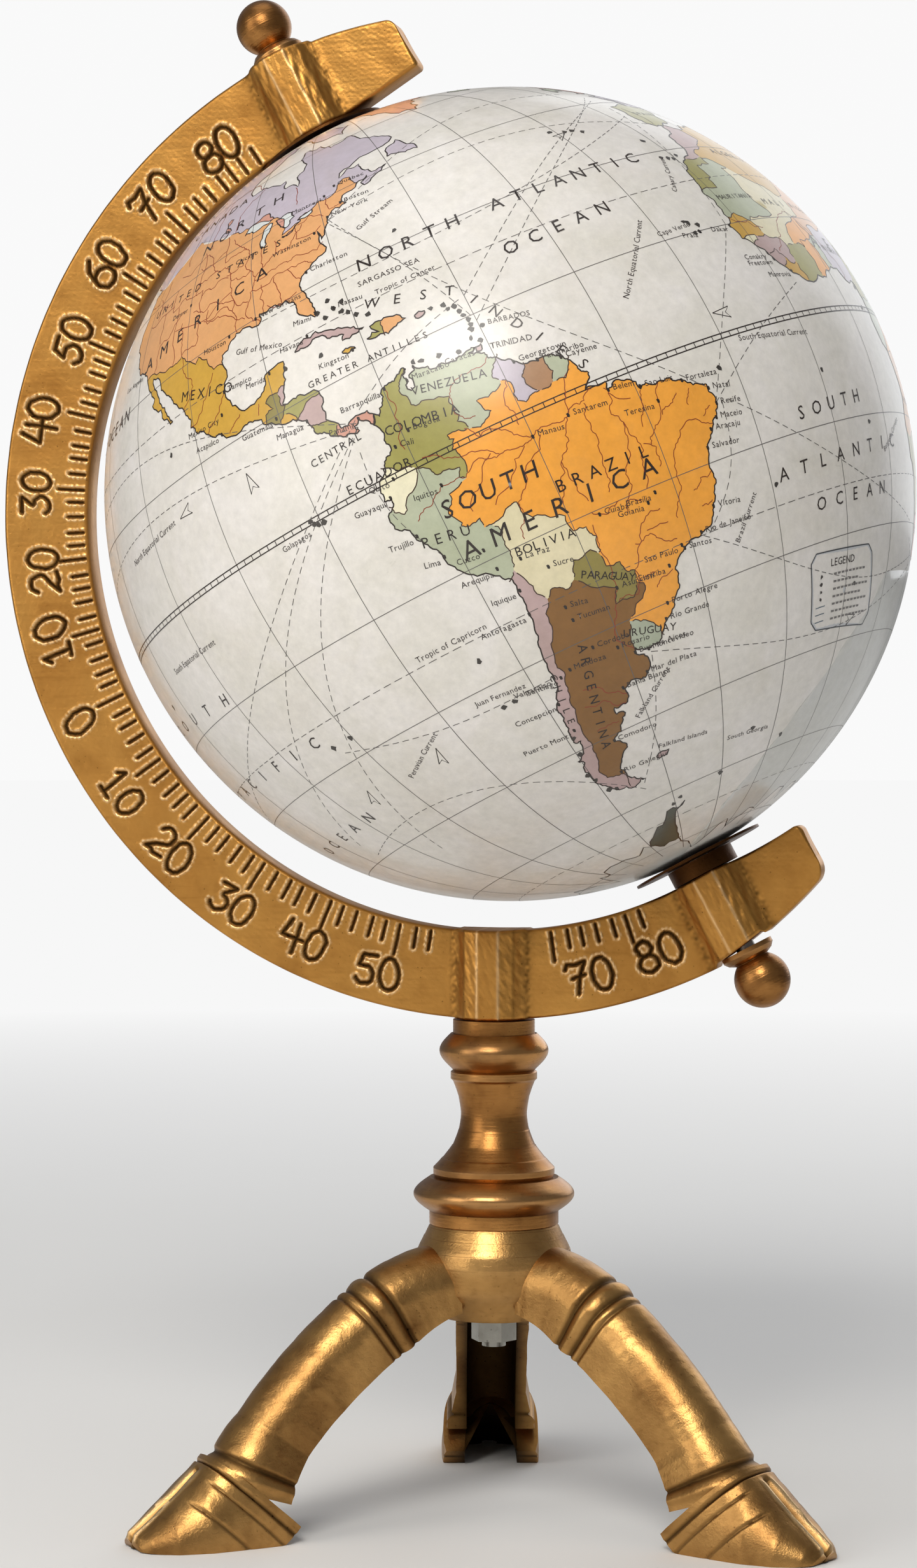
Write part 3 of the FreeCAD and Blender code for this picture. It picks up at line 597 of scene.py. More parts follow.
COASTS = {
    "south_america": """-77.4 8.6 -76.8 7.9 -76.4 8.9 -75.6 9.6 -75.5 10.6 -74.9 11.1 -74.2 11.3 -73.2 11.3
-72.2 11.9 -71.7 12.4 -71.2 12.1 -71.9 11.5 -71.6 10.9 -72 10.1 -71.6 9.1 -71 9.3 -71.2 10.8 -70.2 11.4
-70.2 12.1 -69.8 11.5 -68.4 11.1 -68.1 10.5 -66.9 10.6 -65.9 10.3 -64.8 10.1 -64.2 10.5 -62.6 10.7 -61.9
10.7 -62.9 10.3 -62.3 9.9 -61 9.5 -60.8 8.6 -59.9 8.3 -58.6 7.4 -58 6.8 -57.2 6 -55.9 5.9 -54 5.8 -52.9 5.3
-52 4.6 -51.6 4.2 -51 3.2 -50.7 2.1 -49.9 1.6 -50.1 0.9 -51.3 -0.4 -50.5 -0.1 -48.4 -0.3 -48.6 -1.4 -47.4
-0.7 -46 -1.1 -44.6 -1.8 -44.4 -2.9 -43.4 -2.4 -41.8 -2.8 -40 -2.9 -38.5 -3.7 -37.2 -4.8 -36 -5.1 -35.3
-5.3 -34.8 -7.1 -34.9 -8.3 -35.6 -9.6 -36.8 -10.8 -37.6 -12 -38.5 -13 -39 -14.6 -38.9 -16.4 -39.3 -17.9
-39.8 -19.6 -40.3 -20.5 -41 -21.7 -41.9 -22.7 -43.2 -23 -44.7 -23.3 -46.3 -24 -47.9 -25.2 -48.6 -26.2 -48.6
-27.6 -49.2 -29 -50.2 -30.3 -51 -31.5 -52.2 -32.3 -53.4 -33.7 -54.2 -34.7 -55.6 -34.8 -56.9 -34.8 -58.2 -34
-58.5 -34.6 -57.2 -35.4 -56.7 -36.4 -57.6 -38.1 -59 -38.7 -62.1 -39 -62.3 -40.6 -63.8 -41.1 -65 -41 -65.1
-42.1 -63.6 -42.5 -64.4 -43 -65.3 -44 -65.6 -45 -67.5 -46.1 -65.9 -47.1 -65.8 -47.9 -67.6 -49.2 -68.5 -50.2
-69.1 -51 -68.4 -52.3 -68.2 -53.2 -66.5 -54.4 -65.2 -54.8 -67 -55.2 -69 -55.5 -71 -54.8 -73 -53.4 -74.5 -52
-75.2 -50.5 -75.6 -48.8 -74.6 -47.2 -75.6 -46.6 -73.5 -45 -73 -43.5 -74.2 -43.3 -74 -41.8 -73.7 -39.9 -73.5
-38.2 -73.5 -37.1 -72.6 -35.5 -71.7 -33.4 -71.6 -32.3 -71.6 -30.2 -71.3 -28.5 -70.9 -27.2 -70.6 -25.4 -70.4
-23.4 -70.2 -21.3 -70.2 -19.5 -70.4 -18.4 -71.6 -17.4 -73.8 -16.2 -75.5 -15.2 -76.4 -13.8 -77.2 -12.1 -77.9
-10.5 -78.7 -9 -79.4 -7.8 -80.1 -6.6 -81.2 -6 -81.3 -4.6 -80.3 -3.5 -79.9 -2.5 -80.9 -2.3 -80.8 -1.1 -80
0.5 -78.9 1.4 -78.6 2.3 -77.6 2.7 -77.1 3.9 -77.5 4.8 -77.4 6.5 -77.9 7.2""",
    "north_america": """-77.9 7.2 -78.4 8.1 -79.5 8.9 -80.4 8.3 -80 7.5 -81.7 7.8 -82.9 8.2 -83.6 8.5 -84.6
9.6 -85.7 10 -85.8 10.9 -87.5 12.9 -88.9 13.2 -90.9 13.9 -92.2 14.5 -93.9 16 -95.2 16.1 -96.6 15.7 -99.8
16.8 -102.2 17.9 -104.3 19.1 -105.6 20.5 -105.3 21.6 -106.4 23.2 -108.9 25.6 -109.4 26.7 -110.9 27.9 -112.2
29 -113.1 31.2 -114.8 31.8 -114.8 31 -114 29.8 -112.8 28 -111.3 26 -110.3 24.2 -109.5 23.1 -110.1 23 -112.1
24.8 -112.3 26.1 -114.9 27.7 -114.2 28.5 -115.9 30.3 -117.1 32.5 -118.5 34 -120.6 34.6 -121.9 36.6 -122.5
37.8 -123.8 39.3 -124.3 40.4 -124.1 43 -124 46.3 -124.7 48.4 -122.6 48.9 -127 50.8 -128.5 52.8 -130.4 54.5
-133.5 58 -137 58.9 -141 60 -146 60.8 -151.5 59.4 -154 58.5 -158.5 56.3 -163.5 54.8 -160 58.5 -162.5 59.8
-165.8 61.6 -161.5 64.3 -167.5 65.6 -162 66.5 -166.3 68.4 -156.6 71.3 -146 70.2 -136 69 -128 70.4 -120 69.4
-115 68.3 -108.5 67.8 -101.5 67.8 -95.5 68.2 -94.5 71.8 -88 68.6 -81.5 69 -86 66.3 -93 61.9 -94.6 58.8
-92.5 57 -88 56.5 -82.4 55.2 -82.2 52.9 -79 51.5 -79.2 54.5 -76.6 57.2 -78.5 60 -77.6 62.5 -72.5 61.8 -69.5
59 -65.5 59.5 -64.5 60.3 -61.8 57 -58 54.8 -55.8 52.8 -58.6 51.3 -66 50.2 -69.8 48 -65 49.2 -64.8 47.3
-63.5 45.8 -60.2 46.2 -63.5 44.6 -65.8 43.6 -66.2 44.5 -64.6 45.6 -67 44.8 -70 43.7 -70.7 42.6 -70 41.7
-71.5 41.4 -74 40.6 -74.2 39.5 -75.1 38.5 -76 37 -76.4 39 -76.5 36.8 -75.6 35.2 -77.9 33.9 -79.2 33.1 -81.1
31.9 -81.4 30.3 -80.5 28.3 -80.1 26.5 -80.4 25.2 -81.8 26.1 -82.8 27.8 -83 29.1 -84.2 30 -85.3 29.7 -87.3
30.3 -89.3 30.3 -89.2 29.1 -91.3 29.4 -94 29.6 -95.2 28.9 -97.2 27.6 -97.2 25.9 -97.8 22.5 -97.1 20.6 -96.1
19.1 -94.5 18.1 -91.9 18.6 -90.6 19.8 -90.3 21.1 -87 21.5 -87.5 19.8 -87.9 18.2 -88.3 16.6 -88.9 15.9 -87.5
15.8 -86 15.9 -83.3 15 -83.6 12.9 -83.7 11 -82.2 9 -81.2 8.8 -79.7 9.5 -78 9.4 -77.4 8.6""",
    "superior": "-92 46.7 -89.2 48.2 -86 48.6 -84.8 46.8 -87.5 46.5 -90.3 46.7",
    "michigan": "-87.6 41.7 -87.9 43.3 -87.1 45.4 -85.1 45.8 -86.4 43.9 -86.6 42.1",
    "huron": "-84.3 45.9 -80.7 45.8 -80.2 44.6 -81.7 43.2 -83.3 43.9",
    "erie": "-83.2 41.7 -79.2 42.8 -80.6 42 -82.7 41.4",
    "ontario": "-79.7 43.3 -76.5 44 -76.6 43.4",
    "winnipeg": "-98.6 50.6 -97.5 53.4 -99.2 53.2 -96.9 50.5",
    "slave": "-116.5 61.3 -113.5 62.3 -109.6 62.7 -113.5 60.9",
    "bear": "-124.5 65.8 -120 67 -118.3 66.2 -121.5 65",
    "cuba": "-84.9 21.8 -83 23 -81 23.1 -79.3 22.4 -77.2 21.6 -75.5 21 -74.2 20.2 -75.5 19.9 -77.7 19.9 "
    "-77.2 20.6 -78.5 21 -79.8 21.7 -81.8 22.2 -83.9 21.9",
    "hispaniola": "-74.4 18.4 -72.4 18.6 -73.4 19.9 -71.6 19.9 -69.9 19.7 -68.4 18.6 -70 18.2 -71.4 17.7 "
    "-72.8 18.1",
    "jamaica": "-78.3 18.4 -77 18.5 -76.3 18 -77.6 17.8",
    "puerto_rico": "-67.2 18.4 -65.7 18.4 -65.9 18 -67.2 18",
    "trinidad": "-61.8 10.7 -60.9 10.8 -61 10.1 -61.8 10.1",
    "newfoundland": "-59.3 47.8 -57.5 50.5 -55.7 51.5 -53.5 48.5 -53.3 46.8 -55.8 47",
    "falkland": "-61 -51.8 -58 -51.5 -58.9 -52.2 -60.8 -52.2",
    "baffin": "-80 73.5 -68 70 -62 67 -65 62.7 -72 64.5 -78 69.3 -88 72",
    "victoria": "-116 72.5 -105 72.5 -103 69.2 -112 68.9 -117 70",
    "ellesmere": "-90 81 -70 82.5 -75 78.5 -82 76.5 -90 77",
    "banks": "-124 74 -116.5 74 -120 71.5 -125 72",
    "greenland": "-73 78.3 -58 82 -32 83.2 -12 81.5 -18 77 -22 71 -32 68 -40 65 -43.5 60 -48 61 -53 66.5 "
    "-54 70.5 -60 76",
    "iceland": "-24 65.5 -22 66.4 -16 66.4 -13.6 65 -18.5 63.4 -22.7 63.8",
    "africa": """-5.9 35.8 -2.1 35.1 1.5 36.5 5.2 36.8 9.8 37.3 11 36.9 10.2 34.3 11.1 33.2 15.2 32.3 18.8
30.4 20.1 32.3 23.2 32.3 25.1 31.6 29 30.9 31.8 31.5 32.3 31.2 32.6 29.9 33.9 27.2 35.6 24 37.3 21 38.5
18.2 39.6 15.4 43.2 12.5 43.1 11.6 44.8 10.4 51.2 11.9 50.8 9.3 48 4.5 44 1.1 41.5 -1.8 39.4 -4.6 39.4 -7.5
40.5 -10.8 40.8 -14.8 37 -17.9 34.9 -20.2 35.5 -23.8 32.8 -26 31.5 -29.3 28.5 -32.7 25.7 -34 20 -34.8 18.4
-34.1 17.9 -32 16.5 -28.6 14.5 -22.8 12 -18 13.6 -12.5 13 -8.9 12.2 -6 9.3 -2.5 9.7 1 9.6 3.9 8.5 4.6 6.1
4.3 4.4 6.3 1.1 6.1 -2 4.8 -4.5 5.2 -7.7 4.4 -9.5 5.5 -11.5 6.9 -13.2 8.8 -15 10.9 -16.8 12.4 -17.5 14.7
-16.3 17.5 -16.2 19.3 -17 21 -16 23.7 -14.5 26.2 -12.8 27.9 -10.2 29.3 -9.7 31.4 -8.5 33.3 -6.8 34.1""",
    "madagascar": "49.3 -12 50.4 -15.7 47.2 -24.8 43.8 -23.5 44.3 -17 47.5 -14.8",
    "eurasia": """-5.6 36 -9 37 -9.4 38.7 -8.8 43.2 -1.8 43.4 -1.2 46 -4.7 48.4 -1.5 48.8 1.6 50.9 4.5 52.3
8.2 53.8 8.3 57 10.5 57.6 10.5 54.6 14.2 54 18.8 54.5 21.2 55.5 24.3 57.3 23.5 59.2 29.5 59.9 25 60.2 21.3
61 25.3 65 22 65.8 17.3 61.5 16.5 57 14.2 55.5 12.8 56 11 59 8 58.1 5.3 59 5 62 10.5 64.5 14.5 67.5 20 70
26 71 31 70.3 41 66.8 33 66.6 38 64 44 66 44 68.5 54 68.5 68 68.5 67 71 73 72.5 81 73.5 104 77.6 113 73.8
130 71 140 72.5 160 69.7 178 69.3 179.5 68.9 179.5 65.5 177 62.5 163 60 162 56 156.7 51 156 57 163 61.5 155
59.3 142 59.3 135.3 54.7 141 53 140.5 48 132 43.2 129 40.5 129.4 36 126.4 34.4 125 38 121.5 39 121.5 40.8
118 39.1 122.5 37.3 119.3 35 121.8 31.5 121.5 28.5 118 24.3 113.5 22.2 110.2 20.4 108 21.6 105.7 19 109.2
13 105 8.7 104.8 10.4 100.9 12.8 99.2 9.5 103.4 4.5 104.2 1.4 101 3 98.3 8 98.6 12 97.6 16.5 94.3 16 92.3
21 88.5 21.8 80.2 15.5 80.3 13.2 77.5 8.1 73 17 72.7 21 69 22.3 67 24.8 61.6 25.1 57 27 51 28 48.2 30 50.2
26.5 51.5 25.2 56.3 26.2 59.8 22.5 55 17.3 45 12.8 43 14 39 21 35 28 34.4 31.5 36 36 28 36.8 26.3 39.3 29
41 41.5 41.5 37.5 45.2 38.5 47.2 33.5 45 30.5 46.3 28 43.5 28 41.5 23.5 40.5 24 37.8 22.5 36.5 19.5 41.5
13.5 45.6 12.3 44.3 18.4 40.1 16 38 12.3 41.7 8.9 44.4 4.8 43.4 3.1 42.3 -0.3 39.5 -2.1 36.8""",
    "caspian": "47.5 45.5 52.5 46.8 53 42 54 37.5 49.2 37.6 49.5 41",
    "britain": "-5.5 50.1 1.3 51.2 1.7 52.7 -0.5 54.5 -2 57.6 -5 58.5 -5.6 56 -3 54 -4.6 53 -3 51.5",
    "ireland": "-10 51.6 -6.3 52.2 -5.6 54.7 -8.5 55.2 -10 54",
    "novaya": "52 71 57 71 68 76.5 60 76",
    "spitsbergen": "12 79.5 20 80.3 22 78.5 16 76.8",
    "japan": "130 31.5 131.5 33.7 135.5 33.6 140 35.5 141.8 39.5 140.5 43.2 145 43.5 141 41.5 139.5 38.5 "
    "136.5 36.8 131 34.5",
    "sakhalin": "142 46 143.5 49.5 142.5 54.2 141.8 50",
    "taiwan": "120.2 23 121.6 25.1 120.9 22",
    "hainan": "108.8 19.2 110.9 20 109.6 18.3",
    "ceylon": "79.9 8 81.8 7.5 80.5 6 80 9.6",
    "philippines": "120.3 16 122 18.4 121.6 14 124 12.8 126 9 125.5 6 122 7.5 123 10.5",
    "borneo": "109 1.5 113 3.2 117 7 119 5 117.5 0.8 116 -3.9 110.3 -2.9",
    "sumatra": "95.4 5.5 100.5 2.2 104 -1.5 106 -3 105.6 -5.8 102 -4 98.5 1.5",
    "java": "105.4 -6.7 108.6 -6.6 114.4 -7.8 114.3 -8.6 108 -7.8",
    "celebes": "119.6 -5.4 119.8 0.6 125 1.5 120.5 -0.6 122.8 -4.8 121 -2.8",
    "new_guinea": "131 -0.8 134.5 -2.7 138 -1.7 145 -4.3 147.8 -6.5 150.5 -10.5 146 -8.7 143 -9 138.5 -8.2 "
    "137.8 -5.3 133 -4",
    "australia": """113.5 -22 114.3 -26.5 115.7 -31.8 115.2 -34.3 118 -35 123.5 -33.9 129 -31.7 134.5 -32.7
137.8 -32.8 138 -35.5 140.5 -38 144.5 -38.3 146.4 -39 150 -37.3 153 -32 153.4 -28 150.8 -23.5 146.3 -19
145.3 -15 142.5 -10.8 141 -16.5 139.5 -17.5 135.5 -14.9 136.8 -12.2 131 -12.2 129.5 -14.9 125 -15 122.2 -18
117 -20.7""",
    "tasmania": "144.8 -40.8 148.3 -40.9 147.8 -43.2 146 -43.5",
    "north_island": "172.8 -34.5 175.5 -36.5 178.3 -37.8 175.5 -41.6 173.8 -39.3 174.7 -37",
    "south_island": "172.7 -40.6 174.2 -41.8 171 -45 168.5 -46.6 166.5 -46 170.5 -43",
    "antarctica": """-179.5 -78.5 -150 -77 -135 -74.5 -110 -74 -100 -72.5 -85 -73 -75 -72 -68 -67 -61 -63.8
-57 -63.3 -61 -66 -62 -71 -61 -75 -45 -78 -30 -77 -20 -73.5 -5 -70.5 15 -70 35 -68.5 55 -66.2 70 -69 80
-67.5 100 -65.5 120 -66.8 140 -66.8 160 -70 168 -73 165 -78 179.5 -78.5 179.5 -87 -179.5 -87""",
}
BORDERS = {
    "south_america": ["-71.2 12.6 -72 11.6 -72.4 11.1 -72.9 10.4 -73 9.2 -72.4 8.2 -72.4 7.4 -71.9 7 -70.1 "
    "7 -67.5 6.2 -67.8 5.3 -67.7 4 -67.3 3.4 -67.9 2.8 -67.2 2.3 -66.9 1.2",
        "-66.9 1.2 -68.2 1.7 -69.8 1.7 -69.8 1.1 -69.2 0.9 -69.6 0.5 -70 -0.2 -69.6 -0.5 -69.4 -1.5 -69.9 "
        "-4.3", "-69.9 -4.3 -70.7 -3.8 -70.1 -2.7 -71.4 -2.3 -73.1 -2.3 -73.6 -1.3 -74.4 -0.6 -75.4 -0.1",
        "-75.4 -0.1 -76.3 0.4 -77.4 0.4 -78.9 1.5 -79.6 1.9",
        "-75.4 -0.1 -75.3 -1 -76.6 -2.6 -78.2 -3.5 -78.6 -4.6 -79.2 -4.9 -79.7 -4.4 -80.3 -4.1 -80.3 -3.4 "
        "-80.8 -3.1",
        "-69.9 -4.3 -72.8 -5.2 -73.1 -6.5 -74 -7.4 -72.9 -9.2 -73.2 -9.5 -72.2 -10 -71.3 -9.9 -70.6 -9.6 "
        "-70.6 -11", "-69.6 -11 -68.7 -12.5 -69 -13.7 -68.9 -15.2 -69.2 -16.2 -69.6 -17.5",
        "-70.6 -11 -69.6 -11 -68.2 -10.8 -66.6 -9.9 -65.4 -9.8 -65.3 -11.5 -63.1 -12.7 -61.9 -13.5 -60.4 "
        "-14 -60.2 -16.2 -58.4 -16.4 -58.3 -17.3 -57.6 -18 -57.8 -19.9 -58.2 -20.2",
        "-69.6 -17.5 -70.4 -18.4 -71 -18.7", "-69.6 -17.5 -68.7 -19.4 -68.2 -21.6 -67.2 -22.8",
        "-67.2 -22.8 -68.3 -24.5 -68.5 -27 -69.6 -28.5 -70 -30.4 -70.4 -31.9 -69.8 -33.3 -70.4 -35.2 -71.1 "
        "-36.9 -71 -38.6 -71.8 -40.6 -71.9 -43.3 -71.5 -44.8 -71.8 -46.6 -72.4 -48.4 -73.2 -49.9 -72.4 "
        "-51.5 -70 -52.1 -68 -52.5",
        "-68.9 -52.2 -68.6 -52.6 -68.6 -55.7", "-67.2 -22.8 -66.3 -21.9 -65 -22.1 -64.4 -22.7 -62.8 -22",
        "-62.8 -22 -62.3 -20.6 -61.8 -19.6 -59.1 -19.3 -58.2 -20.2",
        "-58.2 -20.2 -57.9 -22.1 -55.9 -22.3 -55.4 -23.9 -54.3 -24.1 -54.6 -25.6",
        "-62.8 -22 -61 -23.8 -57.7 -25.3 -58.6 -27.3 -56.2 -27.3 -55.7 -27.4 -54.6 -25.6",
        "-54.6 -25.6 -53.7 -26.2 -53.8 -27.1 -55.8 -28.4 -57.6 -30.2",
        "-57.6 -30.2 -58.2 -32 -58.3 -33.5 -58.36 -34.25 -57.4 -34.6",
        "-57.6 -30.2 -56 -30.9 -54.6 -31.5 -53.2 -32.7 -53.5 -33.7 -53 -34.1",
        "-59.6 8.8 -59.8 8.3 -60.7 7.5 -61.2 6.7 -61.4 5.9 -60.7 5.2",
        "-60.7 5.2 -61.9 4.2 -63 3.9 -64.6 4.1 -64.1 2.5 -63.4 2.2 -64.2 1.5 -65.5 0.8 -66.9 1.2",
        "-60.7 5.2 -60 5 -59.6 4.4 -59.9 2.9 -59.8 1.9 -58.9 1.3 -57.3 2 -56.5 1.9",
        "-56.5 1.9 -57.9 3.4 -58 4.5 -57.3 5.3 -57 6.5", "-56.5 1.9 -55.9 1.9 -54.6 2.3",
        "-54.6 2.3 -54 3.6 -54.5 4.9 -53.9 6.2", "-54.6 2.3 -52.9 2.1 -52.5 2.6 -51.6 4.2 -51.3 4.8"],
    "north_america": ["-117.8 32.4 -114.7 32.6 -111.1 31.3 -108.2 31.4 -106.5 31.8 -104.9 30.3 -103 29 "
    "-102.3 29.8 -100.5 28.6 -99.2 26.4 -96.6 25.9",
        "-125.4 48.3 -123 49 -95.2 49 -92 48.3 -89.5 48 -84.8 46.7 -82.5 45.3 -82.4 43 -83.2 42 -79.1 42.8 "
        "-79.2 43.5 -76.5 44.1 -74.8 45 -71.4 45.1 -69.2 47.4 -67.8 47.1 -67.4 45.3 -66.6 44.6",
        "-141 59.5 -141 70.5",
        "-92.4 14.2 -91.9 15.8 -90.5 16.1 -91.4 17.3 -90.9 17.8 -89.1 17.8 -88.3 18.4 -87.5 18.2",
        "-89.2 17.9 -89.2 15.9 -88.4 15.7", "-88.5 16.1 -89.3 14.5 -90.3 13.5",
        "-82.9 15 -85 14.6 -86.7 13.5 -87.4 12.9 -88 12.7", "-89.3 14.5 -87.8 13.7 -87.4 12.7",
        "-83.3 10.8 -84.6 10.9 -85.7 11.2 -86.2 10.9", "-82.3 9.7 -82.9 8.9 -82.9 7.8"],
    "hispaniola": ["-71.7 20.2 -71.9 18.6 -71.7 17.4"],
    "africa": ["-1.9 35.5 -1.7 33.5 -1.2 32.1 -3.6 30.9 -5.6 29.6 -8.7 28.7 -8.7 27.7",
    "-8.7 27.7 -13.8 27.7", "-8.7 27.7 -8.7 26 -12 26 -12 23.4 -13 23 -13 21.3 -17.8 21.3",
        "-8.7 27.7 -8.7 27.3 -4.9 25 -6.5 25 -5.6 16.3 -5.5 15.5 -9.3 15.5 -11.5 15.6 -12.2 14.8",
        "-17.2 16.1 -14.5 16.6 -12.2 14.8 -11.4 12.4", "-4.9 25 1.2 21.1 3.2 19.2 4.2 19.1",
        "4.2 19.1 5.8 19.5 12 23.5", "12 23.5 9.9 26 9.8 29 9.1 32.1 7.6 33.6 8.5 35.5 8.6 37.6",
        "9.5 30.3 11.8 33.6", "4.2 19.1 4.2 16.8 3.5 15.4 0.4 15 -2.9 13.9 -5.3 11.3 -5.5 10.4",
        "2.4 11.9 3.6 11.7 4.1 13.5 8 13 13.6 13.7",
        "-5.5 10.4 -2.8 9.7 -2.8 11 0 11.1 0.9 11 2.4 11.9 0.4 15", "2.7 5.9 2.7 9.5 3.6 11.7",
        "1.3 5.7 0.5 8 0.1 11.1",
        "-3 4.6 -2.6 7.5 -2.8 9.7", "-7.6 4 -8.4 6.3 -8.3 7.6",
        "-8.3 7.6 -7.9 10.2 -8.3 11.3 -11.4 12.4 -13.7 12.6", "-8.3 7.6 -9.4 7.4 -10.3 8.5 -11.5 10 -13.8 9",
        "-10.3 8.5 -12 6.7",
        "-17.3 12.4 -13.7 12.6 -13.7 11.7 -15.6 10.8", "-7.9 10.2 -5.5 10.4", "25 32.2 25 22 37.5 22",
        "25 22 24 19.5 15 23 12 23.5", "15 23 15.5 17 13.6 13.7", "24 19.5 24 15.7 22 13 23 9 27.5 5 31 3.8",
        "13.6 13.7 14.5 10 15 7.5 18 8 23 9", "13.6 13.7 8.6 4", "15 7.5 14.5 2 9.5 2.2",
        "16.5 3.5 18.6 3.6 27.5 5", "18.6 3.6 16 -1 12 -5.8 11.8 -6",
        "12.2 -6 16.8 -6 17 -8 22 -8 22 -13 24 -13 24 -17.5 11.5 -17.3",
        "31 3.8 29.5 -4 31 -8.5 28.5 -9.5 29.5 -13 22 -11", "31 3.8 35 4.5 41 4 41.5 -2.2",
        "35 4.5 33 8 36.5 14.5 39 18", "36.5 14.5 43 12.6", "43 11 48 8 41 4", "34 0 37.5 -3 39.8 -4.8",
        "29.5 -1.3 34 -1 34 4.3",
        "31 -8.5 34.5 -11.5 41 -10.7",
        "34.5 -11.5 35.5 -16 32.5 -13.5 30.2 -15.5 33 -18 31.5 -22.3 32 -26.5",
        "24 -17.5 25.2 -17.8 29.5 -22.2 31.5 -22.3", "20 -17.8 20 -28.5 16 -28.7",
        "20 -25 25.5 -25.5 29.5 -22.2", "25.2 -17.8 30.2 -15.5"],
    "eurasia": ["-8 43.8 -7 37 -7.4 36.6", "-2.2 43.9 3.4 42.3", "2 51.3 8 49 7.5 47.5 7 43.3",
    "7.5 47.5 13 47.5 16.5 47 13.4 45.2", "7 54.2 6 50 8 49", "14.2 54.5 15 51 12.5 50 13 47.5",
    "15 51 19 49.5 22.5 49 24 51 23.5 54 20 54.8",
        "23.5 54 28 56 27.5 59.9", "24 51 31 51.5 31 54 28 56", "31 51.5 40 49.5 38 46.9",
        "22.5 49 28 48 28.3 45", "28 48 30 46", "30 60 30 66 28 69.5 31 70.6",
        "13 47.5 19 45.5 20 42 19 41.8", "20 42 23 42 26.5 41.8 28.6 41.9",
        "41.5 41.5 44.5 40 48 38.5", "44.5 40 45 37 48 31 48.4 29.8", "36 36 42 37.2 45 37",
        "36 33 42 32 48 30", "35 29.3 38 31 47 29", "51 24.5 55 20 52 17 43.5 17",
        "52 47 56 51 61 52 70 55 80 51 87 49", "54 37.5 61 36.5 61 31 61.6 25",
        "61 36.5 67 37.5 75 37 80 42 87 49",
        "53 42 60 44.5 68 42 75 42.5 80 42", "61 31 66.5 30 70 33 75 37",
        "75 37 78 32.5 81 30 88 27.5 97 28.5", "66.5 30 70 28 74 32 78 34", "70 28 68 23.5",
        "88 27.5 89 26 88.5 22", "92.5 24 97 28.5 98.5 24 101 21.5 105 23 108 21.4",
        "92.3 20.8 92.5 24 89 26",
        "98.5 24 98 17 99.5 11", "101 21.5 101 17.5 105 16 105 14 102.5 12.2", "105 23 107.5 15 105 10.8",
        "87 49 98 50.5 107 50 116 49.8 112 45 105 42 96 43 90 46 87 49",
        "116 49.8 121 53.5 127 50 131 48 131 43", "131 43.2 124.4 40",
        "60 52 60 56 63 62 66 68.9"],
    "antarctica": ["-76.4 -71.3 -70 -74 -57.5 -73.8"],
    "australia": ["129 -14.5 129 -32", "129 -26 141 -26 141 -38.4", "138 -16.5 138 -26",
    "141 -29 149 -29 153.8 -28.2", "141 -34 147 -36 150.3 -37.6"],
    "borneo": ["109.5 1.8 113 1 116 4.2 117.9 4.2"], "new_guinea": ["141 -2.3 141 -9.3"],
}
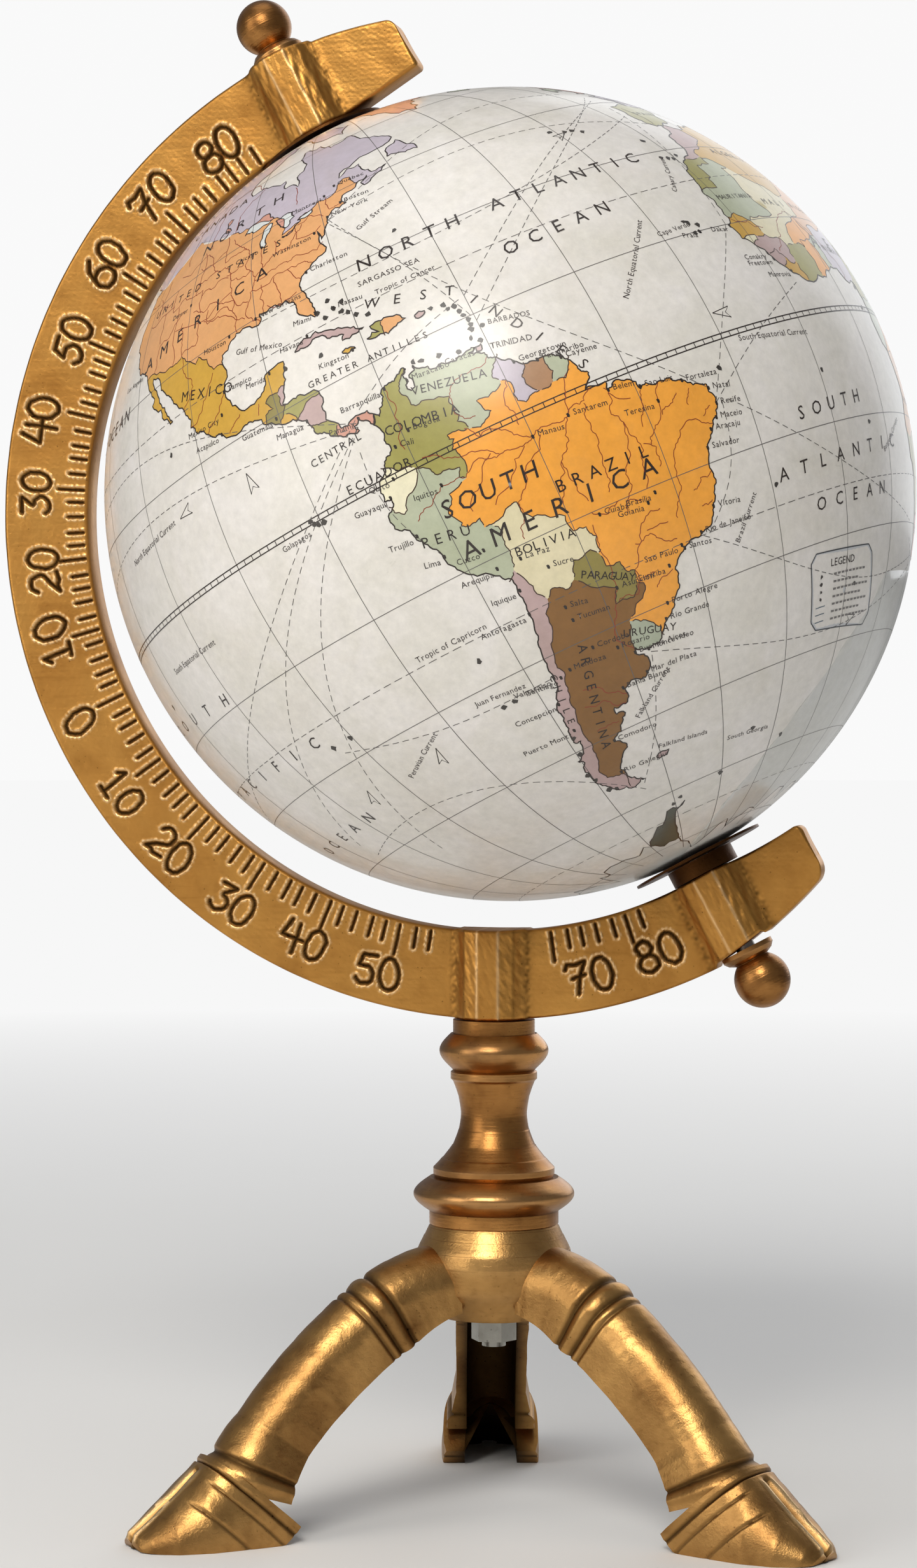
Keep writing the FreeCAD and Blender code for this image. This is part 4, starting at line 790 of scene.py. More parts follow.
# country colours: a name and its place inside the country
INKS = {"amber": (240, 164, 62), "umber": (132, 92, 42), "sage": (178, 184, 158), "cream": (222, 212, 176),
        "mauve": (186, 160, 158), "olive": (158, 152, 84), "moss": (140, 128, 66),
        "straw": (232, 226, 196), "tan": (222, 164, 108), "lilac": (192, 182, 194), "gold": (204, 160, 62),
        # the near-black green below is for the Antarctic Peninsula: painted shade of the ball's underside
        "grey_green": (172, 180, 160), "underside_shade_ink": (70, 74, 62), "rose": (206, 150, 132),
        "bronze": (170, 128, 92), "water": (214, 218, 216), "ice": (206, 206, 202)}
SEEDS = {
    "south_america": [("amber", -52, -10), ("umber", -66, -34), ("umber", -66.5, -54), ("sage", -75.5, -8),
    ("cream", -64.5, -16.5), ("mauve", -71.1, -34), ("mauve", -69.6, -22), ("mauve", -70.2, -53.6),
    ("olive", -73.5, 4.5),
        ("olive", -72.3, 9.6), ("sage", -65, 8), ("straw", -78.5, -1.2), ("moss", -58.5, -23.3),
        ("grey_green", -56, -32.8), ("lilac", -58.9, 4.5), ("bronze", -56, 4), ("sage", -53, 3.8)],
    "north_america": [("sage", -150, 65), ("lilac", -105, 56), ("tan", -98, 40), ("gold", -102, 23.5),
    ("moss", -90.3, 15.2), ("mauve", -88.7, 17.2), ("olive", -87.2, 14.8), ("gold", -88.8, 13.7),
    ("mauve", -85.2, 12.9), ("olive", -84, 10), ("rose", -80.9, 8.2)],
    "hispaniola": [("olive", -72.4, 19.3), ("tan", -70.5, 19)], "cuba": [("mauve", -79.5, 22)],
    "jamaica": [("gold", -77.3, 18.2)], "greenland": [("rose", -40, 73)], "baffin": [("lilac", -72, 68)],
    "africa": [("gold", 2, 28), ("mauve", -6, 32), ("olive", -14, 25), ("sage", -10, 19.5),
    ("cream", -1, 18), ("gold", -14.8, 14.9), ("mauve", -11, 11), ("olive", -5.5, 7.5), ("amber", -1, 8),
    ("mauve", -12, 8.6), ("gold", -9.3, 6.4),
        ("amber", -1.5, 12.5), ("tan", 9, 17), ("lilac", 8, 9.5), ("sage", 2.3, 9), ("rose", 9.3, 34.5),
        ("amber", 17, 27), ("straw", 29, 27), ("sage", 30, 15), ("gold", 18, 15), ("olive", 12, 6),
        ("rose", 20, 6.5), ("amber", 22, -3), ("sage", 13, 0), ("tan", 18, -12),
        ("lilac", 26, -14), ("gold", 39, 8), ("sage", 45, 5), ("mauve", 37, 1), ("olive", 34.5, -6),
        ("amber", 37, -14), ("rose", 24, -30), ("cream", 17, -23), ("olive", 23, -22), ("tan", 30, -19),
        ("grey_green", 40, 12.5), ("mauve", 32, 1.5), ("straw", 34, -13.2)],
    # the Antarctic Peninsula's near-black ink is painted shade at the bottom of the ball
    "madagascar": [("olive", 46, -20)], "antarctica": [("underside_shade_ink", -66, -70), ("ice", 40, -76)],
    "iceland": [("sage", -19, 65)],
    "eurasia": [("gold", -4, 40), ("olive", -8.2, 40), ("lilac", 2, 47), ("sage", 10, 51), ("tan", 12, 43),
    ("rose", 15.5, 48), ("amber", 20, 52), ("cream", 26, 48), ("mauve", 16, 63), ("sage", 26, 63),
    ("olive", 26, 55), ("tan", 90, 62), ("gold", 33, 49.2),
        ("cream", 66, 48), ("amber", 33, 39), ("mauve", 54, 33), ("straw", 45, 24), ("sage", 43, 33.5),
        ("gold", 65, 34), ("olive", 69, 28.5), ("rose", 78, 22), ("gold", 105, 34), ("lilac", 103, 46.5),
        ("sage", 96, 21), ("amber", 101, 15.5), ("mauve", 106.5, 18), ("olive", 128, 37)],
    "britain": [("rose", -1.5, 52.5)], "ireland": [("sage", -8, 53.3)], "japan": [("rose", 138, 36.5)],
    "australia": [("gold", 122, -27), ("rose", 133, -21), ("olive", 135, -29), ("mauve", 144, -23),
    ("sage", 147, -32), ("amber", 144.5, -37)],
    "borneo": [("gold", 114, -1), ("mauve", 117, 5.2)], "sumatra": [("gold", 102, -1)],
    "java": [("gold", 110, -7.2)], "new_guinea": [("gold", 138, -4), ("olive", 144, -6)],
    "celebes": [("gold", 120.6, -2)], "philippines": [("sage", 121.5, 16)],
    "north_island": [("rose", 175.6, -38.5)], "south_island": [("rose", 170.5, -44)],
    "tasmania": [("amber", 146.7, -42)], "victoria": [("lilac", -110, 71)],
    "ellesmere": [("lilac", -80, 79)], "newfoundland": [("lilac", -56.5, 48.5)],
    "ceylon": [("gold", 80.8, 7.5)],
}
RIVERS = ["-50.5 -0.5 -52 -1.5 -54.7 -2.4 -57 -2.6 -60 -3.1 -62 -3.6 -64.7 -3.4 -67 -2.9 -69.9 -4.2 -73.2 "
        "-3.8 -75.5 -5.5 -78 -6.5",
        "-48.7 -1.8 -49.5 -4.5 -48.4 -6 -48.8 -8.5 -50.5 -11.5 -51 -14.5 -52.5 -17",
        "-48.4 -6 -47.6 -8.5 -48.2 -12 -48.8 -15",
    "-52.2 -1.8 -52.5 -4.5 -52.8 -7.5 -53.2 -11 -53.8 -13.5",
    "-55 -2.6 -56 -5.5 -58 -7.5 -57.5 -10.5 -56.8 -13.5", "-58 -7.5 -59.2 -10 -60 -12.5",
    "-59 -3.3 -61.5 -5.8 -63.5 -8.5 -65.3 -10 -65.3 -12 -66.5 -14.5",
    "-36.4 -10.5 -38.5 -9.2 -40.8 -9.3 -43 -11.5 -44 -14.5 -45 -18 -46 -20",
    "-58.4 -34 -60.5 -32 -59 -28.5 -58.6 -27.3 -55 -27.3 -54.3 -24.1 -52 -21 -50.5 -18.5 -48 -18",
    "-58.6 -27.3 -57.6 -25.2 -57.9 -20 -57.5 -16.5", "-41.8 -2.9 -43 -6.5 -45 -8.5 -46 -10",
    "-44.5 -3 -45.2 -5.5 -46.2 -7.5", "-61 8.8 -63.5 8.1 -66.2 7.5 -67.5 6 -67.8 3.8 -65.5 2.4",
    "-74.8 11 -74.3 8.5 -74.8 5.5 -75.5 2.5", "-60 -3.1 -62.5 -1.2 -66 -0.3 -67.5 1.5",
    "-65.8 -2.8 -68 -5 -71 -8.5", "-61.5 -3.8 -64.5 -6.5 -68 -9", "-64.8 -3.3 -67.5 -1.8 -70.5 -1.2 -74 0.5",
    "-62 -39.8 -65 -38.5 -68.5 -36.5", "-62.8 -41 -66 -39.3 -69.5 -39", "-65.2 -43.3 -69.5 -43.3",
    "-53 -21 -50.5 -20.5 -49 -22 -47 -22.5", "-51.5 -25.5 -53.5 -25.6", "-39 -16 -41 -16.3 -42.5 -17.5",
    "-40.2 -19.5 -42 -19.8", "-43 -7 -41 -6 -40 -5", "-38 -5 -39 -7", "-37.5 -9 -36 -8",
    "-46 -13 -45.5 -10.5 -47 -9.5", "-53 -15 -55 -16 -57 -15", "-50 -16 -52 -15.5", "-47.5 -20 -50.8 -20",
    "-52 -27.5 -50 -26.5 -49 -26",
    "-49 -1 -46.2 -3.5", "-60 5 -61.5 2 -61 -1", "-52 3 -54 0 -54.5 -2.2",
    "-95 47.5 -93 45 -91.2 43.5 -90.3 41.8 -91.4 40.3 -90.2 38.7 -89.2 37 -90.5 34.8 -91.1 33 -91.5 31 "
    "-89.3 29.2", "-89.2 37 -87.6 37.9 -84.8 39.1 -82.2 38.6 -80.6 40.6 -79 42",
    "-90.2 38.7 -94.6 39.1 -96.4 42.5 -98.5 42.9 -101 46.8 -104 48 -111.5 47.5",
    "-91.1 33.5 -94.4 35.4 -98 37 -104 38", "-92 31 -96.5 33.8 -101 35", "-106.5 31.8 -106.5 35.5 -107 37.5",
    "-114.7 32.6 -114 36 -110 37.5 -107 39.5", "-119 46.2 -117 44 -112 43.5", "-124 46.2 -119.5 45.7",
    "-117.1 42 -117 48.9", "-111 45 -111 41 -104 41 -104 49", "-109 41 -109 31.4", "-114 42 -114 37",
    "-120 42 -111 42",
    "-104 41 -102 41 -102 37", "-103 37 -103 32 -106.5 32", "-104 45.9 -96.6 45.9", "-104 43 -98.5 43",
    "-102 40 -95.3 40", "-109 37 -94.6 37", "-94.6 40.6 -94.6 36.5 -94.4 33.6 -94 33 -93.8 29.7",
    "-95.8 40.6 -91.7 40.6", "-96.5 43.5 -91.2 43.5", "-97 49 -96.5 43.5", "-100 36.5 -100 34.6 -94.4 33.6",
    "-89.5 36.5 -83.7 36.6 -81.7 36.6 -75.9 36.5", "-90.1 35 -83 35 -79.7 34.8 -78.5 33.9",
    "-88.2 35 -88.4 30.4", "-85.6 35 -85.1 32 -85 29.9", "-87.6 31 -82.2 30.5", "-83 35 -81 32.2",
    "-87.6 41.7 -87.6 38", "-84.8 41.7 -84.8 39.1", "-80.5 42 -80.5 39.7 -75.6 39.7",
    "-79.8 42.3 -75.3 42 -74.7 41.3", "-73.3 45 -73.3 42.1 -70.9 42",
    "-110 49 -110 60", "-120 54 -120 60", "-102 49 -102 60 -95 60 -89 57", "-95.2 49 -95.2 52.8 -89 56.8",
    "-139 60 -102 60", "-79.5 51.5 -79.5 47", "-128 70 -128 65 -122 61 -114 59",
    "-106.5 23.5 -104 26 -106 29 -106.4 31.7", "-99.5 26 -101 24 -103 21.5 -105.4 20.6",
    "-98 22 -99.5 20 -101.5 19 -102.5 18", "-96 18 -97.5 17 -98.5 16.3", "-93 16.3 -92.5 17.8",
    "5.5 4.5 6.5 7.5 4 12 0 16 -4 15 -7.5 12 -10.5 9.5", "-16.5 16 -13 15 -10.5 13.5",
    "30.5 31.3 31 27 33 24 31 20 33 17 32.5 13 31 8 31.5 3", "12.3 -6 16 -3.5 18 0 23 2 26 -1 27 -6 26 -11",
    "36.5 -18.5 33 -16 28 -17 23 -14", "66 68 69 60 76 58 82 52", "85 72 87 65 92 56",
    "126 72 128 64 118 60 107 55", "90 22 94 29 85 29.3", "121.5 31.6 112 30 104 29 98 33",
    "118 37.5 110 35 108 40 102 36", "47.8 46 45 49 49 54 40 57", "30 46.5 31 50 32 54"]


def constrained_land(coast_names, borders, seeds, step, seed):
    """Triangulates land and colours its countries.
    Coasts and borders, roughened, become fixed edges of a Delaunay triangulation that also takes a grid of
    inner points, so that it can bend with the ball.
    Triangles joined across free edges share a label, found by spreading the smallest number across each
    pair until none changes; a country takes the
    ink of the seed that lies in it, and what is joined to the sheet's corner is sea and is dropped."""
    points, edges, drawn, count = [], [], [], 0
    for k, coast in enumerate(coast_names):
        line = roughen(chart(COASTS[coast]), 2, 0.22, seed + k, True)
        n = np.arange(len(line)) + count
        points.append(line)
        edges.append(np.c_[n, np.roll(n, -1)])
        drawn.append((np.vstack([line, line[:1]]), "coast"))
        count += len(line)
    for k, border in enumerate(borders):
        line = roughen(chart(border), 2, 0.16, seed + 100 + k)
        n = np.arange(len(line)) + count
        points.append(line)
        edges.append(np.c_[n[:-1], n[1:]])
        drawn.append((line, "border"))
        count += len(line)
    low = np.min([p.min(0) for p in points], 0) - 0.8
    high = np.max([p.max(0) for p in points], 0) + 0.8
    gx, gy = np.meshgrid(np.arange(low[0], high[0] + step, step), np.arange(low[1], high[1] + step, step))
    gx = gx + 0.37 * step * (np.arange(gx.shape[0])[:, None] % 2)
    points.append(np.c_[gx.ravel(), gy.ravel()])
    allp = np.vstack(points)
    out = delaunay_2d_cdt([Vector(p) for p in allp.tolist()], [tuple(e) for e in np.vstack(edges).tolist()],
            [], 0, 1e-5, True)
    xy = np.array([tuple(v) for v in out[0]])
    tris = np.array([f for f in out[2] if len(f) == 3])
    fixed = np.array([e for e, o in zip(out[1], out[4]) if len(o)])
    base = len(xy)
    fixed_keys = np.sort(fixed, 1) @ np.array([base, 1])
    pairs = np.sort(np.stack([tris, np.roll(tris, -1, 1)], -1).reshape(-1, 2), 1)
    keys, owner = pairs @ np.array([base, 1]), np.repeat(np.arange(len(tris)), 3)
    order = np.argsort(keys, kind="stable")
    keys, owner = keys[order], owner[order]
    same = (keys[1:] == keys[:-1]) & ~np.isin(keys[1:], fixed_keys)
    a, b = owner[:-1][same], owner[1:][same]
    label = np.arange(len(tris))
    for _ in range(400):
        before = label.copy()
        least = np.minimum(label[a], label[b])
        np.minimum.at(label, a, least)
        np.minimum.at(label, b, least)
        label = label[label]
        if (label == before).all():
            break
    p, q, r = xy[tris[:, 0]], xy[tris[:, 1]], xy[tris[:, 2]]
    turn = (q[:, 0] - p[:, 0]) * (r[:, 1] - p[:, 1]) - (q[:, 1] - p[:, 1]) * (r[:, 0] - p[:, 0])
    tris[turn < 0] = tris[turn < 0][:, ::-1]
    p, q, r = xy[tris[:, 0]], xy[tris[:, 1]], xy[tris[:, 2]]

    def label_at(lon, lat):
        """The label of the triangle that holds a place, or -1 outside them all."""
        s = [(v[:, 0] - u[:, 0]) * (lat - u[:, 1]) - (v[:, 1] - u[:, 1]) * (lon - u[:, 0]) for u,
                v in ((p, q), (q, r), (r, p))]
        inside = np.flatnonzero((s[0] >= -1e-9) & (s[1] >= -1e-9) & (s[2] >= -1e-9))
        return label[inside[0]] if len(inside) else -1
    colour = np.tile(linear(*INKS[seeds[-1][0]]), (len(tris), 1))
    for ink, lon, lat in seeds:
        colour[label == label_at(lon, lat)] = linear(*INKS[ink])
    sea = label_at(low[0] + 0.11, low[1] + 0.13)
    keep = label != sea
    return xy, tris[keep], colour[keep], drawn


GROUPS = [(["south_america"], 1.5), (["north_america", "superior", "michigan", "huron", "erie", "ontario",
        "winnipeg", "slave", "bear"], 1.5), (["africa"], 1.5), (["eurasia", "caspian"], 1.6),
        (["australia"], 1.6), (["antarctica"], 1.6)]
for coast in COASTS:
    if not any(coast in g[0] for g in GROUPS):
        GROUPS.append(([coast], 1.5))

land_points, land_faces, land_tints, drawn_lines, total = [], [], [], [], 0
for k, (names, step) in enumerate(GROUPS):
    seeds = [("water",) + tuple(chart(COASTS[lake]).mean(0))
            for lake in names[1:]] + list(SEEDS.get(names[0], [("mauve", 0, 0)]))
    xy, tris, colours, drawn = constrained_land(names, BORDERS.get(names[0], []), seeds, step, 40 * k)
    land_points.append(unit_point(xy[:, 0], xy[:, 1]) * 101.42 + GLOBE_CENTRE)
    land_faces.append(tris + total)
    land_tints.append(colours)
    total += len(xy)
    for line, kind in drawn:
        drawn_lines.append((line, kind, names[0]))


def dots(centres, size, sides=7, seed=5):
    """Small uneven islands or towns: rings of points at a random share of the size about each centre, in
    degrees."""
    rng = np.random.default_rng(seed)
    a = np.linspace(0, 2 * np.pi, sides, endpoint=False)
    return [np.c_[lon + size * rng.uniform(0.5, 1.3, sides) * np.cos(a) / max(math.cos(math.radians(lat)),
            0.2), lat + size * rng.uniform(0.5, 1.3, sides) * np.sin(a)] for lon, lat in centres]


points, faces, tints = np.vstack(land_points), np.vstack(land_faces), np.vstack(land_tints)
half = len(faces)
land_mesh = fill_mesh("countries", points, faces)
tint(land_mesh, tints)
place("countries", land_mesh, land_paper, "globe")


def ball_skin():
    """The paper skin: a ball of 101.4 mm as circles round the axle from one pole hole to the other, its
    rims turned in 0.3 mm."""
    polar = np.radians(np.r_[4.3, np.linspace(4.3, 175.7, 172), 175.7])
    radius = np.full(len(polar), 101.39)
    radius[[0, -1]] = 101.1
    around = np.radians(np.arange(0, 360, 1.0))
    u = np.array([math.cos(AXLE_TILT), 0, math.sin(AXLE_TILT)])
    v = np.cross(AXLE, u)
    ring = np.cos(around)[None, :, None] * u + np.sin(around)[None, :, None] * v
    points = radius[:, None, None] * (np.cos(polar)[:, None, None] * AXLE + np.sin(polar)[:, None,
            None] * ring) + GLOBE_CENTRE
    faces = grid_faces(len(polar), len(around), close_columns=True)
    return points.reshape(-1, 3), faces[:, ::-1]


points, faces = ball_skin()
place("ocean_skin", fill_mesh("ocean_skin", points, faces), ocean_paper, "globe", ("map_north", "map_south"))


# distance of each printed layer from the centre of the ball, in millimetres: a larger one lies over a
# smaller one
LAYER = {
    "legend_panel": 101.425,
    "sea_routes": 101.43,
    "graticule": 101.435,
    "rivers_and_states": 101.44,
    "coasts_and_borders": 101.445,
    "map_lettering": 101.46,
}


class Ink:
    """Collects thin printed shapes on the ball and makes one piece of them."""

    def __init__(self, name, radius):
        """Starts empty; radius is the distance from the centre of the ball, in millimetres."""
        self.name, self.radius, self.points, self.faces, self.tints, self.count = name, radius, [], [], [], 0

    def add(self, unit, faces, colour):
        """Keeps one shape: unit vectors, rows of corner numbers and one colour."""
        self.points.append(unit * self.radius + GLOBE_CENTRE)
        self.faces.append(faces + self.count)
        self.tints.append(np.tile(linear(*colour), (len(faces), 1)))
        self.count += len(unit)

    def line(self, lonlat, width, colour):
        """A ribbon along a line: each point moves half the width to either side, square to the run and in
        the ball's surface."""
        u = unit_point(lonlat[:, 0], lonlat[:, 1])
        run = np.gradient(u, axis=0)
        side = np.cross(u, run)
        side /= np.linalg.norm(side, axis=1, keepdims=True) + 1e-12
        half = width / 2 / self.radius
        both = np.stack([u - side * half, u + side * half], 1).reshape(-1, 3)
        i = np.arange(len(u) - 1) * 2
        tris = np.vstack([np.c_[i, i + 2, i + 3], np.c_[i, i + 3, i + 1]])
        self.add(both, tris, colour)

    def dashes(self, lonlat, width, colour, on=1.5, off=0.9):
        """A line cut into dashes of a set length with gaps between, measured along the ball."""
        u = unit_point(lonlat[:, 0], lonlat[:, 1])
        along = np.r_[0, np.cumsum(np.linalg.norm(np.diff(u, axis=0), axis=1))] * self.radius
        for start in np.arange(0, along[-1] - on, on + off):
            s = np.linspace(start, start + on, 3)
            self.line(np.c_[np.interp(s, along, lonlat[:, 0]), np.interp(s, along, lonlat[:, 1])], width,
                    colour)

    def patch(self, lonlat, colour):
        """A small filled shape: a fan round its middle."""
        u = unit_point(lonlat[:, 0], lonlat[:, 1])
        n = len(u)
        middle = u.mean(0) / np.linalg.norm(u.mean(0))
        self.add(np.vstack([u, middle]), np.c_[np.arange(n), (np.arange(n) + 1) % n, np.full(n, n)], colour)

    def make(self):
        """Joins the kept shapes into one mesh that rides on the globe."""
        mesh = fill_mesh(self.name, np.vstack(self.points), np.vstack(self.faces))
        tint(mesh, np.vstack(self.tints))
        return place(self.name, mesh, map_ink, "globe")


def arc_between(start, end, step=1.5, bend=0.0):
    """Points from one place to another, straight on the chart or bowed sideways by a share of its length."""
    start, end = np.array(start, float), np.array(end, float)
    n = max(int(np.abs(end - start).max() / step) + 2, 3)
    s = np.linspace(0, 1, n)[:, None]
    d = end - start
    return start + d * s + np.array([-d[1], d[0]]) * bend * np.sin(np.pi * s)


BLACK, BROWN, RED, GREY = (44, 34, 30), (66, 44, 34), (140, 58, 34), (92, 88, 86)
graticule = Ink("graticule", LAYER["graticule"])
for lon in range(-180, 180, 15):
    graticule.line(arc_between((lon, -78), (lon, 78)), 0.17, (98, 94, 92))
for lat in list(range(-75, 0, 15)) + list(range(15, 76, 15)):
    graticule.line(arc_between((-180, lat), (180, lat)), 0.17, (98, 94, 92))
for lat in (0.35, -0.35):
    graticule.line(arc_between((-180, lat), (180, lat)), 0.28, BLACK)
for lon in np.arange(-180, 180, 1.5):
    graticule.line(np.array([(lon, -0.3), (lon, 0.3)]), 0.22, BLACK)
for lat in (23.4, -23.4, 66.5, -66.5):
    graticule.dashes(arc_between((-180, lat), (180, lat)), 0.17, GREY, 2.2, 1.1)
graticule.make()

lines = Ink("coasts_and_borders", LAYER["coasts_and_borders"])
for line, kind, region in drawn_lines:
    dense = line if kind == "coast" else line[1:-1] if len(line) > 4 else line
    lines.line(dense, 0.34 if kind == "coast" else 0.26, BLACK if kind == "coast" else BROWN)
island_spots = [(-77.5, 25), (-76.5, 24), (-78, 26.6), (-75.5, 23.4), (-74.5, 22.5), (-73, 21.7),
        (-76, 25.4), (-64.8, 18.3), (-63, 18), (-62.8, 17.2), (-61.8, 17.1), (-61.5, 16.2), (-61.3, 15.4),
        (-61, 14.6), (-61, 13.9), (-61.2, 13.2), (-59.6, 13.1), (-61.7, 12.1),
    (-60.7, 11.2), (-64, 11), (-66.5, 11.8), (-68.9, 12.2), (-70, 12.5), (-81.3, 19.4), (-87, 20.3),
    (-91, -0.5), (-90.4, -0.7), (-89.6, -0.9), (-91.4, 0.1), (-28.5, 38.6), (-27, 38.5), (-25.5, 37.7),
    (-31, 39.4), (-17, 32.7), (-16.5, 28.3), (-15.5, 28), (-14, 28.6),
    (-17.8, 28.6), (-25, 17), (-24.4, 16.6), (-23, 16), (-23.6, 15), (-24.4, 14.9), (-64.7, 32.3),
    (-32.4, -3.9), (-14.4, -7.9), (-5.7, -15.9), (-12.3, -37.1), (-29.3, -20.5), (-36.8, -54.3), (-58, -62),
    (-60.5, -63), (-45.5, -60.6), (-26.5, -57.8), (-80, -26.3),
    (-78.8, -33.6), (-80.8, -33.7), (-109.4, -27.1), (-105.4, -27), (-110.9, 18.8), (-74, -42.7),
    (-74.5, -45.5), (-75.5, -49.5), (-74.8, -51), (-73.5, -53.8), (-72, -54.3), (-80, 25.5), (-79, 24.2),
    (6.6, 0.2), (8.7, 3.5), (55.5, -21), (57.5, -20.2), (-155.5, 19.6), (-157.9, 21.4), (178, -17.8),
    (165.5, -21.5), (-149.5, -17.6), (-140, -9), (-172, -13.8), (145, 13.4), (167, -15.5), (160, -9.3)]
for island in dots(island_spots, 0.42):
    lines.patch(island, (60, 56, 52))
lines.make()

rivers = Ink("rivers_and_states", LAYER["rivers_and_states"])
for k, river in enumerate(RIVERS):
    rivers.line(roughen(chart(river), 3, 0.2, 900 + k), 0.2, RED)
rivers.make()
# ------------------------------------------------------------ sea routes, towns, lettering and legend
routes = Ink("sea_routes", LAYER["sea_routes"])
for start, end, bend in [((-80, 9), (-150, -30), 0.05), ((-80, 8), (-130, -42), -0.04),
        ((-80, 8), (-115, -50), -0.07), ((-80, 8), (-170, 2), -0.08), ((-80, 8.5), (-150, 18), -0.1),
        ((-74, 40), (-10, 50), 0.1), ((-74, 40), (-6, 36), 0.06),
                         ((-74, 40), (-35, -6), -0.05), ((-35, -8), (-18, 15), 0.03),
                         ((-18, 15), (-10, 44), 0.02), ((-74, 39), (-60, 14), 0.04),
                         ((-60, 14), (-8, 48), 0.04), ((-43, -23.5), (18, -34), -0.12),
                         ((-56, -35.5), (18, -35), -0.1),
                         ((-56, -36), (-66, -56), 0.08), ((-66, -57), (-130, -44), -0.12),
                         ((-42, -23.5), (-34, -8), -0.12), ((-89, 29), (-10, 40), -0.06),
                         ((-79, 10), (-60, 18), 0.05), ((-60, 18), (-10, 46), 0.05),
                         ((-72, -33), (-110, -28), 0.05),
                         ((-35, -8), (-10, 5), 0.04), ((-33, -8), (12, -30), -0.06),
                         ((-77, -12), (-81, 6), 0.1), ((12, -32), (40, -38), -0.1),
                         ((60, 10), (110, -8), -0.1), ((45, 10), (60, -20), 0.05),
                         ((115, -32), (50, -30), 0.1)]:
    routes.dashes(arc_between(start, end, 1.0, bend), 0.18, GREY, 1.7, 1.0)
for lon, lat, way in [(-97.5, 8.6, 100), (-110.6, 10.4, 190), (-112.5, -36.1, 60), (-95.1, -35.8, 70),
        (-28, 3, 170), (-30, 38, 20), (-12, -42, 10)]:
    a = math.radians(way)
    tip = np.array([math.cos(a), math.sin(a)])
    side = np.array([-tip[1], tip[0]])
    head = np.array([(lon, lat) + tip * 1.6, (lon, lat) - tip * 1.2 + side * 0.8, (lon, lat) - tip * 0.5,
            (lon, lat) - tip * 1.2 - side * 0.8, (lon, lat) + tip * 1.6])
    routes.line(head, 0.22, BLACK)
routes.make()

GLYPHS = {}


def glyph(letter):
    """A letter's flat outline filled with triangles, one unit high, with its middle at zero and its width."""
    if letter not in GLYPHS:
        curve = bpy.data.curves.new("letter", "FONT")
        curve.body, curve.size, curve.resolution_u = letter, 1.39, 2
        holder = bpy.data.objects.new("letter", curve)
        bpy.context.scene.collection.objects.link(holder)
        bpy.context.view_layer.update()
        flat = bpy.data.meshes.new_from_object(holder.evaluated_get(bpy.context.evaluated_depsgraph_get()))
        flat.calc_loop_triangles()
        xy = np.zeros(len(flat.vertices) * 3)
        flat.vertices.foreach_get("co", xy)
        xy = xy.reshape(-1, 3)[:, :2]
        tris = np.array([t.vertices[:] for t in flat.loop_triangles], int).reshape(-1, 3)
        width = float(np.ptp(xy[:, 0])) if len(xy) else 0.4
        if len(xy):
            xy[:, 0] -= (xy[:, 0].min() + xy[:, 0].max()) / 2
        bpy.data.objects.remove(holder)
        bpy.data.meshes.remove(flat)
        bpy.data.curves.remove(curve)
        GLYPHS[letter] = (xy, tris, width)
    return GLYPHS[letter]


lettering = Ink("map_lettering", LAYER["map_lettering"])


def letter_along(text, size, places, colour=BLACK, spread=False, slant=0.0):
    """Letters set one by one along a line through the places given, each upright on the line's own run;
    spread shares them evenly over its whole length."""
    line = np.array(places, float)
    s = np.linspace(0, 1, 60)
    lonlat = np.c_[np.interp(s, np.linspace(0, 1, len(line)), line[:, 0]),
            np.interp(s, np.linspace(0, 1, len(line)), line[:, 1])]
    u = unit_point(lonlat[:, 0], lonlat[:, 1])
    along = np.r_[0, np.cumsum(np.linalg.norm(np.diff(u, axis=0), axis=1))] * 101.5
    widths = np.array([0.45 if c == " " else glyph(c)[2] + 0.16 for c in text]) * size
    centre = np.cumsum(widths) - widths / 2
    at = np.linspace(0, along[-1], len(text)) if spread else centre
    for c, d in zip(text, at):
        if c == " ":
            continue
        p = np.array([np.interp(d, along, u[:, k]) for k in range(3)])
        q = np.array([np.interp(d + 0.3, along, u[:, k]) - np.interp(d - 0.3, along,
                u[:, k]) for k in range(3)])
        if np.linalg.norm(q) < 1e-9 or d > along[-1] + 1e-6:
            q = u[-1] - u[-2]
            p = u[-1] + q / np.linalg.norm(q) * (d - along[-1]) / 101.5
        p = p / np.linalg.norm(p)
        q = q - p * (q @ p)
        q /= np.linalg.norm(q)
        up = np.cross(p, q)
        xy, tris, _ = glyph(c)
        xy = xy * size
        x, y = xy[:, 0] + slant * xy[:, 1], xy[:, 1] - size / 2
        unit = p + (x[:, None] * q + y[:, None] * up) / 101.5
        lettering.add(unit / np.linalg.norm(unit, axis=1, keepdims=True), tris, colour)


